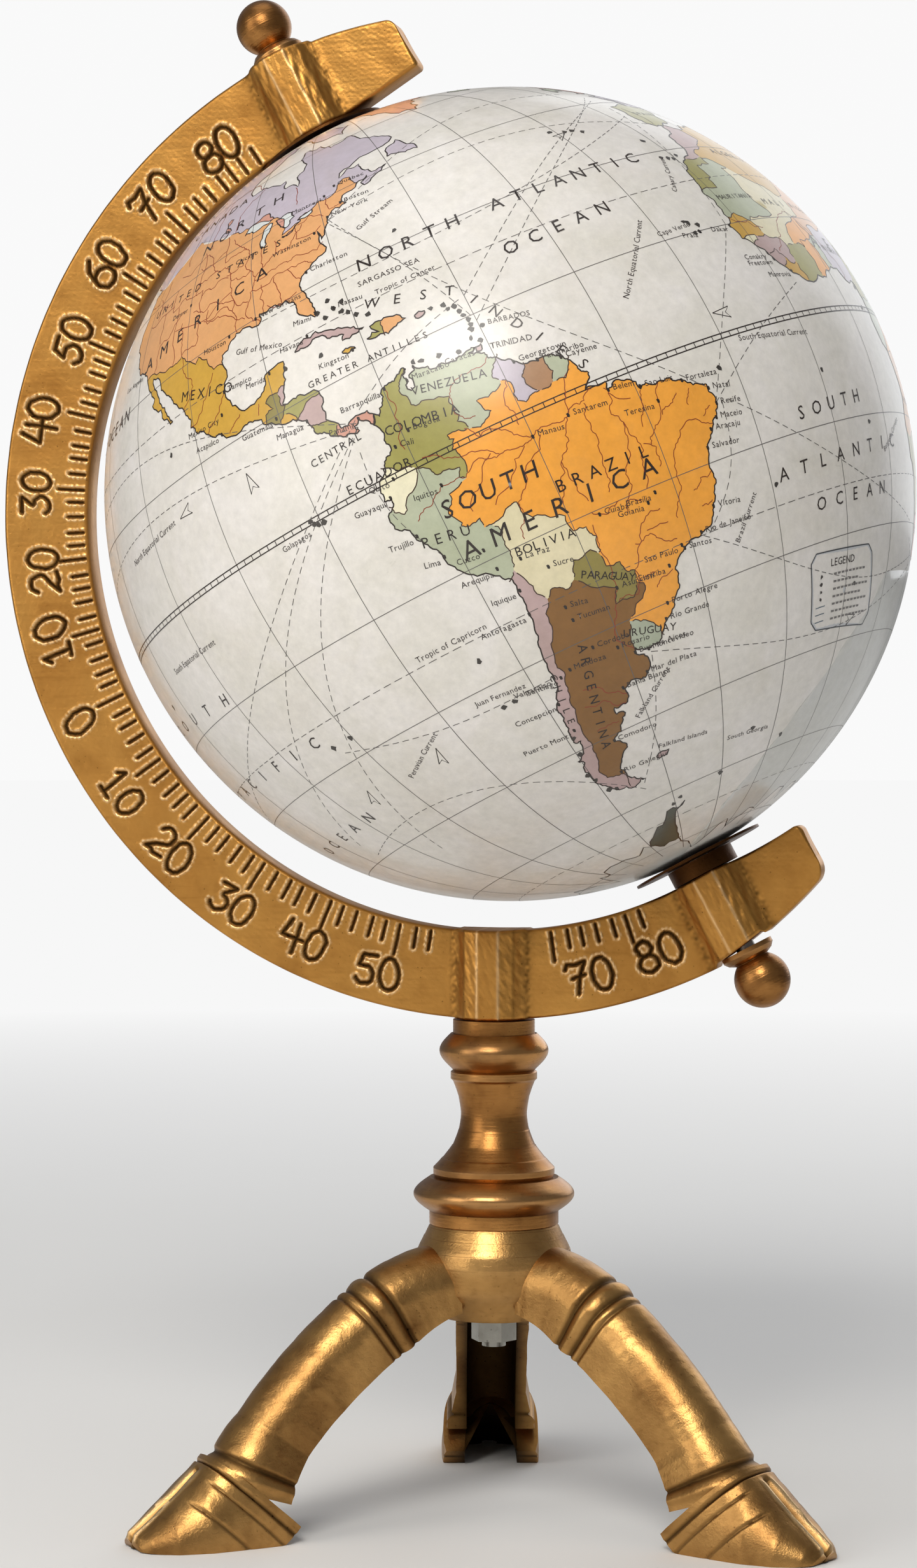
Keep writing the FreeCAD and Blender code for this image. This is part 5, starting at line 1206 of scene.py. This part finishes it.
for text, size, places in [
        ("NORTH ATLANTIC", 3.7, [(-71, 29.5), (-47, 29.6), (-23.5, 29.8)]),
        ("OCEAN", 3.6, [(-51, 22), (-35.5, 22.8)]), ("SOUTH", 3.3, [(-21.5, -12.6), (-8, -12.2)]),
        ("ATLANTIC", 3.3, [(-27.6, -19.6), (1.5, -18.8)]),
        ("OCEAN", 3.2, [(-21, -24.9), (-4, -24.9)]), ("SOUTH", 4.3, [(-74, -6.7), (-62.4, -6.9)]),
        ("AMERICA", 4.5, [(-73.6, -12.6), (-47.7, -12.5)]), ("SOUTH", 3.2, [(-147, -11.5), (-122, -13.3)]),
        ("PACIFIC", 3.2, [(-146, -24), (-112, -25)]),
        ("OCEAN", 3.2, [(-142, -38.5), (-118, -38.2)]), ("NORTH", 3.4, [(-104, 50), (-84, 51)]),
        ("AMERICA", 3.6, [(-117, 35), (-88, 37)]), ("WEST", 2.6, [(-72, 23), (-61.5, 19.6)]),
        ("INDIES", 2.6, [(-59, 17), (-50, 3)]),
        ("AFRICA", 4.6, [(2, 11), (34, 9)]), ("ASIA", 5, [(70, 52), (112, 50)]),
        ("EUROPE", 3.4, [(8, 50), (34, 54)]), ("AUSTRALIA", 3.2, [(119, -25), (147, -25)]),
        ("INDIAN OCEAN", 3.6, [(58, -22), (102, -24)]),
        ("NORTH PACIFIC OCEAN", 3.6, [(-178, 30), (-125, 30)]),
        ("NORTH PACIFIC", 3.4, [(148, 24), (179, 24)]), ("SOUTH PACIFIC", 3.2, [(160, -40), (179, -40)]),
        ("ANTARCTICA", 3.0, [(60, -73), (120, -73)])]:
    letter_along(text, size, places, BLACK, True, 0.12)
for text, size, places in [
        ("BRAZIL", 3.0, [(-59.3, -10.2), (-47.4, -10.4)]), ("ARGENTINA", 2.3, [(-65.6, -31), (-69.2, -46)]),
        ("PERU", 2.5, [(-78.4, -9.3), (-73.0, -10.2)]), ("BOLIVIA", 2.2, [(-67.9, -15.6), (-60.6, -16.3)]),
        ("PARAGUAY", 1.9, [(-61.2, -21.9), (-55, -24.8)]),
        ("URUGUAY", 1.9, [(-58.6, -31.6), (-51.4, -33.4)]), ("COLOMBIA", 2.3, [(-76.4, 5.7), (-67.6, 4.4)]),
        ("VENEZUELA", 2.1, [(-71.2, 8.9), (-62.4, 7.1)]), ("ECUADOR", 2.2, [(-84.4, 1.2), (-75.9, 0.9)]),
        ("MEXICO", 2.6, [(-106, 25.4), (-97, 22.6)]),
        ("CHILE", 1.8, [(-71.6, -33), (-72.6, -40)]), ("UNITED STATES", 2.3, [(-118, 43.5), (-84, 40.8)]),
        ("CANADA", 3.0, [(-115, 57), (-96, 57)]), ("CENTRAL", 1.9, [(-87.5, 6.6), (-80.5, 6.9)]),
        ("GREATER ANTILLES", 1.7, [(-84, 16.4), (-67, 15.2)]),
        ("ALGERIA", 2.2, [(-2, 29), (8, 27.6)]), ("MALI", 2.0, [(-4, 18), (1.5, 17.6)]),
        ("MAURITANIA", 1.5, [(-14.6, 19.6), (-7, 19.2)]), ("LIBYA", 2.1, [(13.5, 27), (22, 26.6)]),
        ("EGYPT", 2.0, [(26, 26.8), (33, 26.5)]), ("SUDAN", 2.1, [(25, 15), (34, 14.8)]),
        ("NIGER", 1.8, [(5.6, 17.6), (12, 17)]), ("CHAD", 1.8, [(16, 15.5), (22, 15)]),
        ("NIGERIA", 1.8, [(4.6, 9.8), (12.4, 9.4)]), ("CONGO", 2.0, [(18, -3), (27, -3.4)]),
        ("ANGOLA", 1.8, [(14.5, -12.6), (21.5, -12.8)]), ("SOUTH AFRICA", 1.7, [(18.5, -30.6), (29.5, -30)]),
        ("RUSSIA", 3.4, [(78, 62), (116, 62)]), ("CHINA", 3.0, [(94, 34), (114, 33)]),
        ("INDIA", 2.4, [(74, 22), (83, 21)]), ("IRAN", 2.0, [(50.5, 33), (58, 32)]),
        ("SAUDI ARABIA", 1.7, [(40.5, 24), (52, 22)]), ("MONGOLIA", 1.9, [(95, 46.6), (112, 46.2)]),
        ("GREENLAND", 2.4, [(-50, 72), (-28, 73)]), ("FRANCE", 1.7, [(-1, 47), (6, 46.6)]),
        ("SPAIN", 1.7, [(-6, 40.4), (-0.6, 40)]), ("INDONESIA", 2.0, [(108, -3.6), (128, -5)])]:
    letter_along(text, size, places, (38, 28, 24), True)
for text, size, places in [
        ("SARGASSO SEA", 1.5, [(-72.9, 26.6), (-62, 25.9)]),
        ("Tropic of Cancer", 1.4, [(-71, 24.2), (-56, 23.7)]),
        ("Tropic of Capricorn", 1.5, [(-88, -22.3), (-74, -22.4)]),
        ("Gulf of Mexico", 1.5, [(-94.5, 26.8), (-88, 24.6)]),
        ("North Equatorial Current", 1.6, [(-128, 9.6), (-102, 10.9)]),
        ("South Equatorial Current", 1.6, [(-130, -6), (-101, -6.6)]),
        ("Peruvian Current", 1.5, [(-102.5, -36.3), (-90, -31.2)]),
        ("North Equatorial Current", 1.5, [(-40.5, 9), (-29, 22)]),
        ("South Equatorial Current", 1.5, [(-27.5, -0.9), (-4, -3.7)]),
        ("Falkland Islands", 1.4, [(-60, -50.2), (-47, -51.6)]),
        ("South Georgia", 1.4, [(-44, -54.2), (-34, -55)]),
        ("Juan Fernandez", 1.4, [(-84.5, -31.4), (-77.5, -32)]),
        ("Galapagos", 1.4, [(-97, -1.3), (-91.8, -1.2)]),
        ("Cape Verde", 1.4, [(-30.5, 16.2), (-25.6, 16.4)]), ("BARBADOS", 1.3, [(-58.8, 13.2), (-53, 12)]),
        ("TRINIDAD", 1.5, [(-60, 10), (-53, 8.6)]),
        ("Falkland Current", 1.4, [(-62, -44), (-56, -40)]),
        ("Brazil Current", 1.4, [(-38, -26), (-32, -19)]), ("Benguela Current", 1.4, [(-2, -20), (9, -14)]),
        ("Canary Current", 1.4, [(-22, 22), (-17, 30)]), ("Gulf Stream", 1.5, [(-70, 35.6), (-60, 39)])]:
    letter_along(text, size, places, (70, 62, 60))
for town, lon, lat, left in [("Lima", -77, -12, 1), ("Quito", -78.5, -0.2, 1), ("Bogota", -74.1, 4.6, 0),
        ("Caracas", -66.9, 10.5, 0), ("Georgetown", -58.1, 6.8, 0), ("Paramaribo", -55.2, 5.8, 0),
        ("Cayenne", -52.3, 4.9, 0), ("La Paz", -68.1, -16.5, 0), ("Sucre", -65.2, -19, 0),
        ("Asuncion", -57.6, -25.3, 0),
        ("Santiago", -70.6, -33.4, 1), ("Valparaiso", -71.6, -33, 1), ("Concepcion", -73, -36.8, 1),
        ("Puerto Montt", -73, -41.5, 1), ("Buenos Aires", -58.4, -34.6, 0), ("Montevideo", -56.2, -34.9, 0),
        ("Mar del Plata", -57.6, -38, 0), ("Cordoba", -64.2, -31.4, 0), ("Mendoza", -68.8, -32.9, 0),
        ("Tucuman", -65.2, -26.8, 0),
        ("Rio de Janeiro", -43.2, -22.9, 0), ("Sao Paulo", -46.6, -23.5, 1), ("Santos", -46.3, -24, 0),
        ("Curitiba", -49.3, -25.4, 1), ("Porto Alegre", -51.2, -30, 0), ("Rio Grande", -52.1, -32, 0),
        ("Vitoria", -40.3, -20.3, 0), ("Salvador", -38.5, -13, 0), ("Aracaju", -37.1, -10.9, 0),
        ("Maceio", -35.7, -9.7, 0),
        ("Recife", -34.9, -8, 0), ("Natal", -35.2, -5.8, 0), ("Fortaleza", -38.5, -3.7, 0),
        ("Sao Luis", -44.3, -2.5, 0), ("Belem", -48.5, -1.4, 0), ("Manaus", -60, -3.1, 0),
        ("Santarem", -54.7, -2.4, 0), ("Brasilia", -47.9, -15.8, 1), ("Goiania", -49.3, -16.7, 1),
        ("Cuiaba", -56.1, -15.6, 0), ("Teresina", -42.8, -5.1, 1),
        ("Iquitos", -73.2, -3.7, 1), ("Cuzco", -72, -13.5, 1), ("Arequipa", -71.5, -16.4, 1),
        ("Iquique", -70.1, -20.2, 1), ("Antofagasta", -70.4, -23.6, 1), ("Trujillo", -79, -8.1, 1),
        ("Guayaquil", -79.9, -2.2, 1), ("Cali", -76.5, 3.4, 0), ("Barranquilla", -74.8, 11, 1),
        ("Maracaibo", -71.6, 10.6, 0),
        ("Panama", -79.5, 9, 1), ("Havana", -82.4, 23.1, 1), ("Kingston", -76.8, 18, 1),
        ("Nassau", -77.3, 25.1, 0), ("Miami", -80.2, 25.8, 1), ("Washington", -77, 38.9, 1),
        ("Boston", -71, 42.4, 0), ("New York", -74, 40.7, 0), ("Chicago", -87.6, 41.9, 1),
        ("Houston", -95.4, 29.8, 1), ("Denver", -105, 39.7, 1),
        ("Mexico City", -99.1, 19.4, 1), ("Acapulco", -99.9, 16.9, 1), ("Tampico", -97.9, 22.3, 0),
        ("Merida", -89.6, 21, 1), ("Managua", -86.3, 12.1, 1), ("Guatemala", -90.5, 14.6, 1),
        ("Dakar", -17.4, 14.7, 1), ("Conakry", -13.7, 9.5, 1), ("Freetown", -13.2, 8.5, 1),
        ("Monrovia", -10.8, 6.3, 1), ("Praia", -23.5, 14.9, 1),
        ("Rio Gallegos", -69.2, -51.6, 0), ("Comodoro", -67.5, -45.9, 0), ("Bahia Blanca", -62.3, -38.7, 0),
        ("Rosario", -60.7, -32.9, 0), ("Salta", -65.4, -24.8, 0), ("Quebec", -71.2, 46.8, 0),
        ("Montreal", -73.6, 45.5, 1), ("New Orleans", -90, 30, 0), ("Los Angeles", -118.2, 34, 1),
        ("Charleston", -79.9, 32.8, 0)]:
    spot = dots([(lon, lat)], 0.32, 8, 3)[0]
    lettering.patch(spot, (40, 32, 28))
    width = sum(glyph(c)[2] + 0.16 if c != " " else 0.45 for c in town) * 1.45 / 1.77
    reach = width / max(math.cos(math.radians(lat)), 0.3)
    start = (lon - 0.7 - reach, lat + 0.1) if left else (lon + 0.7, lat + 0.1)
    letter_along(town, 1.45, [start, (start[0] + reach, start[1] - 0.5)], (52, 44, 42))
letter_along("LEGEND", 1.9, [(-19.5, -33.2), (-11.5, -33.6)], BLACK)
corners = np.array([(-23, -31.4), (-8.5, -32.2), (-7.2, -33.4), (-5, -42), (-6.4, -43.6), (-22.5, -42.2),
        (-24, -40.8), (-24.3, -32.6), (-23, -31.4)])
s = np.linspace(0, len(corners) - 1, 90)
legend_edge = np.c_[np.interp(s, np.arange(len(corners)), corners[:, 0]),
        np.interp(s, np.arange(len(corners)), corners[:, 1])]
lettering.line(legend_edge, 0.3, (56, 60, 66))
for k in range(7):
    lat = -34.8 - k * 1.05
    if k < 4:
        lettering.patch(dots([(-21.8, lat)], 0.3, 6, k)[0], BLACK)
    else:
        lettering.line(arc_between((-23, lat), (-20.6, lat)), 0.2, (60, 90, 110))
    lettering.dashes(arc_between((-18.6, lat - 0.1), (-8.6 + 0.4 * k - 2.4 * (k % 2), lat - 0.5), 0.5), 0.5,
            (110, 106, 104), 1.1, 0.45)
lettering.make()

panel = Ink("legend_panel", LAYER["legend_panel"])
panel.patch(legend_edge[:-1], (196, 198, 202))
panel.make()


# ------------------------------------------------------------ legs, hooves and hub
def radial(r, side, z, azimuth_deg):
    """Leg coordinates (out from the column, sideways, up) turned to the leg's own direction."""
    a = math.radians(azimuth_deg)
    return np.stack([r * math.cos(a) - side * math.sin(a), r * math.sin(a) + side * math.cos(a), z + 0 * r],
            -1)


def closed_loft(rings):
    """Joins rings of equal size into a closed skin, each end shut by a fan round its middle. Returns points
    and faces turned outwards."""
    rows, columns = rings.shape[:2]
    points = rings.reshape(-1, 3)
    faces = grid_faces(rows, columns, close_columns=True)
    fans = []
    for row, flip in ((0, True), (rows - 1, False)):
        ring = row * columns + np.arange(columns)
        middle = len(points)
        points = np.vstack([points, points[ring].mean(0)])
        fan = np.c_[ring, np.roll(ring, -1), np.full(columns, middle)]
        fans += (fan[:, ::-1] if flip else fan).tolist()
    return points, faces[:, ::-1].tolist() + [f[::-1] for f in fans]


def recalculated(mesh):
    """Turns every face of a closed mesh outwards."""
    b = bmesh.new()
    b.from_mesh(mesh)
    bmesh.ops.recalc_face_normals(b, faces=b.faces)
    b.to_mesh(mesh)
    b.free()
    return mesh


def make_leg(name, azimuth, seed):
    """The shank is a half-round channel carried down a bent spine: outside radius 9.75 with straight sides,
    hollow under, with two turned bands near the
    hub and a flared ankle. The hoof is an arch whose sections fan from the sloping ankle to the toe, with a
    ring groove, a middle cleft with
    raised lips, and file cuts on its sides."""
    spine = np.array([(14, 58.7), (28, 55.2), (42.4, 45.0), (54.9, 33.5), (63.9, 21.8), (68.6, 12.0)])
    chord = np.r_[0, np.cumsum(np.hypot(*np.diff(spine, axis=0).T))]
    s = np.linspace(0, chord[-1], 230)
    r, z = (np.polyval(np.polyfit(chord, spine[:, k], 4), s) for k in (0, 1))
    tangent = np.stack([np.gradient(r), np.gradient(z)], -1)
    tangent /= np.linalg.norm(tangent, axis=1, keepdims=True)
    normal = np.stack([-tangent[:, 1], tangent[:, 0]], -1)
    phi = np.linspace(0, np.pi, 41)
    roof = np.linspace(np.pi, 0, 15)
    band = -0.9 * np.exp(-((s - 17.5) / 0.7) ** 2) + 0.45 * np.exp(-((s - 20.0)
            / 1.3) ** 2) - 0.8 * np.exp(-((s - 22.6) / 0.6) ** 2) - 0.6 * np.exp(-((s - 25.2) / 0.5) ** 2)
    swell = np.interp(s, [0, 14, 30, 60, chord[-1] - 12, chord[-1]], [1.05, 1.0, 0.97, 0.95, 1.0, 1.2])
    ring = -0.8 * np.exp(-((s - chord[-1] + 5.5) / 0.7) ** 2) + 0.5 * np.exp(-((s - chord[-1] + 3.0)
            / 1.2) ** 2)
    outer = (9.75 * swell + band + ring)[:, None]
    lumps = 0.10 * waves(s[:, None] + 0 * phi, phi[None, :] * 9 + 0 * s[:, None], 12.0,
            seed) + 0.025 * waves(s[:, None] + 0 * phi, phi[None, :] * 9 + 0 * s[:, None], 2.5, seed + 1)
    u_out, n_out = (outer + lumps) * np.cos(phi), (outer + lumps) * np.sin(phi)
    reach = np.interp(r, [14, 31, 60], [6.0, 9.0, 8.0])[:, None]
    open_roof = np.interp(r, [30, 34], [0.0, 1.0])[:, None]
    u_in = 6.5 * np.cos(roof) * (0.9 + 0.1 * open_roof) + 0 * reach
    n_in = -reach * (1 - open_roof) * 0.98 + open_roof * (1.0 + 4.2 * np.sin(roof))
    u = np.concatenate([u_out[:, :1], u_out, u_out[:, -1:], -6.5 + 0 * reach, u_in, 6.5 + 0 * reach], 1)
    n = np.concatenate([-reach, n_out, -reach, -reach, n_in, -reach], 1)
    rr, zz = r[:, None] + normal[:, :1] * n, z[:, None] + normal[:, 1:] * n
    shank_points, shank_faces = closed_loft(radial(rr, u, np.maximum(zz, 1.2), azimuth))
    # painted shade in the grooves of the turned bands and of the ankle ring
    shade = np.zeros(u.shape)
    shade += 0.8 * (np.exp(-((s - 17.5) / 0.9) ** 2) + np.exp(-((s - 22.6) / 0.8) ** 2) + 0.7
            * np.exp(-((s - 25.2) / 0.6) ** 2) + np.exp(-((s - chord[-1] + 5.5) / 0.9) ** 2))[:, None]
    # the hollow underside is dark unfinished cast metal, its own colour
    shade[:, 43:] = 0.85
    t = np.linspace(0, 1, 96)
    top_r, top_z = np.interp(t, [0, 0.25, 0.62, 0.94, 1], [78.2, 82.0, 90.6, 98.0, 98.3]), np.interp(t,
            [0, 0.25, 0.62, 0.94, 1], [21.0, 17.2, 9.6, 3.6, 2.2])
    sole_r, sole_z = np.interp(t, [0, 0.2, 0.9, 1], [58.5, 63.0, 93.0, 97.6]), np.interp(t, [0, 0.2, 0.9, 1],
            [4.0, 0.0, 0.0, 0.3])
    phi = np.linspace(0, np.pi, 97)
    rise = np.sin(phi) ** 0.62
    hr, hz = sole_r[:, None] + (top_r - sole_r)[:, None] * rise, sole_z[:, None] + (top_z - sole_z)[:,
            None] * rise
    wide = np.interp(hr, [56, 60, 70, 82, 90, 96, 98.8], [10.8, 12.6, 13.1, 13.2, 11.3, 7.6, 3.8])
    side = wide * np.sign(np.cos(phi)) * np.abs(np.cos(phi)) ** 0.72
    cleft = np.exp(-(side / 0.85) ** 2) * smoothstep(0.12, 0.24, t)[:, None] * (rise > 0.5)
    lips = np.exp(-((np.abs(side) - 2.1) / 0.6) ** 2) * smoothstep(0.14, 0.26, t)[:, None] * (rise > 0.5)
    groove = np.exp(-((t - 0.085) / 0.016) ** 2)[:, None] * np.ones_like(side)
    cuts = sum(np.exp(-((t[:, None] - c - 0.05 * np.sin(phi)) / 0.012) ** 2) * smoothstep(6, 9,
            np.abs(side)) for c in (0.2, 0.42)) * 0.7
    sink = -2.2 * cleft + 0.7 * lips - 0.9 * groove - 0.7 * cuts + 0.09 * waves(hr, side * 1.3, 7.0,
            seed + 4)
    hz = hz + sink * np.minimum(rise * 1.4, 1) * 0.75
    hr = hr + sink * rise * 0.35
    side = side * (1 + 0.03 * (-groove - cuts))
    inner_rise = np.sin(np.linspace(np.pi, 0, 31)) ** 0.7
    ir, iz = sole_r[:, None] + (top_r - sole_r)[:, None] * inner_rise * 0.62, sole_z[:,
            None] + (top_z - sole_z)[:, None] * inner_rise * 0.62
    keep_in = np.interp(t, [0.0, 0.78, 0.86], [1, 1, 0.05])[:, None]
    iside = np.cos(np.linspace(np.pi, 0, 31)) * np.minimum(7.0,
            np.abs(side).max(1)[:, None] * 0.7) * np.maximum(keep_in, 0.3)
    iz = sole_z[:, None] + (iz - sole_z[:, None]) * keep_in
    hoof = radial(np.minimum(np.concatenate([hr, ir], 1), 98.55), np.concatenate([side, iside], 1),
            np.maximum(np.concatenate([hz, iz], 1), 0.02), azimuth)
    hoof_points, hoof_faces = closed_loft(hoof)
    # painted shade in the middle cleft, the ring groove and the file cuts; the inside of the arch is darkened
    # to 0.9
    hoof_shade = np.concatenate([np.clip(0.9 * cleft + 0.85 * groove + 0.7 * cuts, 0, 1),
            np.full(iside.shape, 0.9)], 1)
    # painted highlight on the raised lips beside the cleft
    lit = np.concatenate([0.8 * lips, np.zeros(iside.shape)], 1)
    for part, pts, fcs, dark, light, nodes in (("_shank", shank_points, shank_faces, shade,
            np.zeros(shade.shape), (name,)), ("_hoof", hoof_points, hoof_faces, hoof_shade, lit, ())):
        mesh = recalculated(fill_mesh(name + part, pts, fcs, 62))
        mask(mesh, "recess_shade", np.r_[np.clip(dark, 0, 1).ravel(), 0, 0])
        mask(mesh, "ridge_highlight", np.r_[np.clip(light, 0, 1).ravel(), 0, 0])
        place(name + part, mesh, leg_brass, "stand", nodes)


make_leg("leg_left", 218, 21)
make_leg("leg_right", 335, 31)
make_leg("leg_rear", 102, 41)


# ------------------------------------------------------------ turned pieces
def turned_piece(name, profile, origin, axis, nodes, bulges=(), step=0.25, body="stand", material=None,
        soften=None):
    """A profile of radius and height turned round an axis; between corners it runs straight, and each bulge
    swells or hollows it by a half
    sine. Fine tool lines follow the turning; the profile's inward bend gives painted shade through the recess
    mask, and its outward bend a painted highlight through the ridge mask."""
    profile = np.array(profile, float)
    run = np.r_[0, np.cumsum(np.hypot(*np.diff(profile, axis=0).T))]
    s = np.unique(np.r_[run, np.arange(0, run[-1], step)])
    r, h = np.interp(s, run, profile[:, 0]), np.interp(s, run, profile[:, 1])
    if soften:
        low, high, width = soften
        soft = np.convolve(np.pad(r, width, "edge"), np.hanning(2 * width + 1) / width, "valid")
        r = np.where((h > low) & (h < high), soft, r)
    for start, end, out in bulges:
        inside = (h - start) * (h - end) < 0
        r = r + np.where(inside, out * np.sin(np.pi * np.clip((h - start) / (end - start), 0, 1)), 0)
    r = np.maximum(r + np.where(r > 1, 0.015 * np.sin(s * 9.0) * np.sin(s * 2.3), 0), 0.02)
    around = np.linspace(0, 2 * np.pi, 128, endpoint=False)
    axis = np.array(axis, float)
    u = np.cross(axis, [0.0, 1.0, 0.0])
    u /= np.linalg.norm(u)
    v = np.cross(axis, u)
    rings = np.array(origin) + h[:, None, None] * axis + r[:, None,
            None] * (np.cos(around)[None, :, None] * u + np.sin(around)[None, :, None] * v)
    points, faces = closed_loft(rings)
    # painted shade where the profile bends in, painted highlight where it stands out
    wide = np.convolve(np.pad(r, 8, "edge"), np.ones(17) / 17, "valid")
    hollow = np.clip((wide - r) * 0.55, 0, 0.8)
    proud = np.clip((r - wide) * 0.3, 0, 0.35)
    mesh = recalculated(fill_mesh(name, points, faces, 35))
    mask(mesh, "recess_shade", np.r_[np.repeat(hollow, 128), 0, 0])
    mask(mesh, "ridge_highlight", np.r_[np.repeat(proud, 128), 0, 0])
    return place(name, mesh, material or turned_brass, body, nodes)


turned_piece("column_turned", [(10.3, 124.7), (10.3, 121.2), (10.9, 121.2), (10.9, 112.6), (10.3, 112.0),
        (10.9, 111.5), (10.9, 109.8), (10.3, 109.2), (9.0, 105.8), (8.2, 101), (8.8, 97), (10.4, 93),
        (13, 89.8), (15.3, 87.4), (15.3, 86.0), (14.9, 85), (16.3, 85), (16.3, 76.6), (16.3, 73.4)],
             (0, 0, 0), (0, 0, 1), ("column",), [(112.6, 121.2, 2.85), (76.6, 85.0, 4.0)],
             soften=(88.6, 108.4, 12))
turned_piece("hub_turned", [(15.9, 73.4), (16.4, 72.6), (17.6, 70.2), (19.3, 67), (19.8, 63.5), (18.6, 57),
        (13.8, 50)], (0, 0, 0), (0, 0, 1), ("tripod_hub",), [], 0.3, "stand", leg_brass,
        (50.5, 73.0, 8))


def finial_profile(face):
    """Ball nut along the axle: collar, neck, then the ball as a half circle of radius 7."""
    a = np.radians(np.linspace(-52, 89.9, 60))
    ball = np.c_[7.0 * np.cos(a), face + 8.7 + 7.0 * np.sin(a)]
    return np.vstack([[(6.8, face), (6.8, face + 1.2), (5.9, face + 2.3), (4.3, face + 3.1)], ball])


turned_piece("ball_nut_north", finial_profile(126.6), GLOBE_CENTRE, AXLE, ("finial_north",))
turned_piece("ball_nut_south", finial_profile(127.6), GLOBE_CENTRE, -AXLE, ("finial_south",))


# ------------------------------------------------------------ floor, light and camera
def soft_light(name, place_mm, size, power, colour, aim=(4, 0, 200)):
    """A rectangular area light at a place in millimetres, turned to face aim."""
    lamp = bpy.data.lights.new(name, "AREA")
    lamp.shape, lamp.size, lamp.size_y = "RECTANGLE", size[0], size[1]
    lamp.energy, lamp.color = power, colour
    o = bpy.data.objects.new(name, lamp)
    bpy.context.scene.collection.objects.link(o)
    o.location = Vector(place_mm) * MM
    o.rotation_euler = (Vector(aim) * MM - o.location).to_track_quat("-Z", "Y").to_euler()


def make_floor():
    """A level disc, a fan round its middle, in a plain pale material."""
    a = np.linspace(0, 2 * np.pi, 64, endpoint=False)
    points = np.vstack([[0, 0, -0.02], np.c_[9000 * np.cos(a), 9000 * np.sin(a), np.full(64, -0.02)]])
    faces = np.c_[np.zeros(64, int), 1 + np.arange(64), 1 + (np.arange(64) + 1) % 64]
    m, tree, shader = new_material("pale_floor")
    where = node(tree, "TexCoord").outputs["Object"]
    tree.links.new(blend_colours(tree, noise(tree, where, 3.0), linear(236, 235, 232),
            linear(242, 241, 239)), shader.inputs["Base Color"])
    shader.inputs["Roughness"].default_value = 0.85
    # towards its rim the floor is seen as bright as the backdrop, so that no dark horizon shows
    away = node(tree, "VectorMath", {0: where}, operation="LENGTH").outputs["Value"]
    seen = math_node(tree, "MULTIPLY", ramp(tree, away, 0.35, 1.6),
            node(tree, "LightPath").outputs["Is Camera Ray"])
    glow = node(tree, "Emission", {0: (1, 1, 1, 1), 1: 0.93})
    both = node(tree, "MixShader", {0: seen})
    tree.links.new(shader.outputs[0], both.inputs[1])
    tree.links.new(glow.outputs[0], both.inputs[2])
    tree.links.new(both.outputs[0], tree.nodes["Material Output"].inputs[0])
    mesh = fill_mesh("floor", points, faces)
    mesh.materials.append(m)
    floor = bpy.data.objects.new("floor", mesh)
    bpy.context.scene.collection.objects.link(floor)


make_floor()
world = bpy.data.worlds.new("studio")
bpy.context.scene.world = world
world.use_nodes = True
sky = world.node_tree
back = sky.nodes["Background"]
back.inputs[0].default_value = (0.93, 0.95, 1.0, 1)
back.inputs[1].default_value = 0.24
seen = node(sky, "Background", {0: (1.0, 1.0, 1.0, 1), 1: 0.95})
pick = node(sky, "MixShader", {0: node(sky, "LightPath").outputs["Is Camera Ray"]})
sky.links.new(back.outputs[0], pick.inputs[1])
sky.links.new(seen.outputs[0], pick.inputs[2])
sky.links.new(pick.outputs[0], sky.nodes["World Output"].inputs[0])

soft_light("key", (-60, -1500, 1330), (0.8, 0.8), 20, (1.0, 0.97, 0.92), (4, 0, 250))
soft_light("left_front", (-1250, -1250, 700), (0.9, 1.2), 8, (1.0, 0.96, 0.9))
soft_light("top", (-200, -100, 1900), (1.2, 1.2), 5, (1.0, 1.0, 1.0))
soft_light("back_fill", (500, 1500, 900), (1.4, 1.4), 8, (0.96, 0.98, 1.0))

forward = np.array([-math.sin(math.radians(11)), math.cos(math.radians(11)), 0.0])
right = np.array([math.cos(math.radians(11)), math.sin(math.radians(11)), 0.0])
FOCAL = 6092.0
camera = bpy.data.objects.new("camera", bpy.data.cameras.new("camera"))
bpy.context.scene.collection.objects.link(camera)
camera.data.sensor_fit = "VERTICAL"
camera.data.sensor_height = 36.0
camera.data.sensor_width = 36.0
camera.data.lens = 36.0 * FOCAL / 2463
camera.data.clip_end = 50
camera.location = Vector(GLOBE_CENTRE - 975 * forward) * MM
camera.location.z = 0.205
aim = forward + right * (-80.3 / FOCAL) + np.array([0, 0, 1]) * (-131.5 / FOCAL)
camera.rotation_euler = Vector(aim).to_track_quat("-Z", "Y").to_euler()
bpy.context.scene.camera = camera
bpy.context.scene.view_settings.view_transform = "Standard"
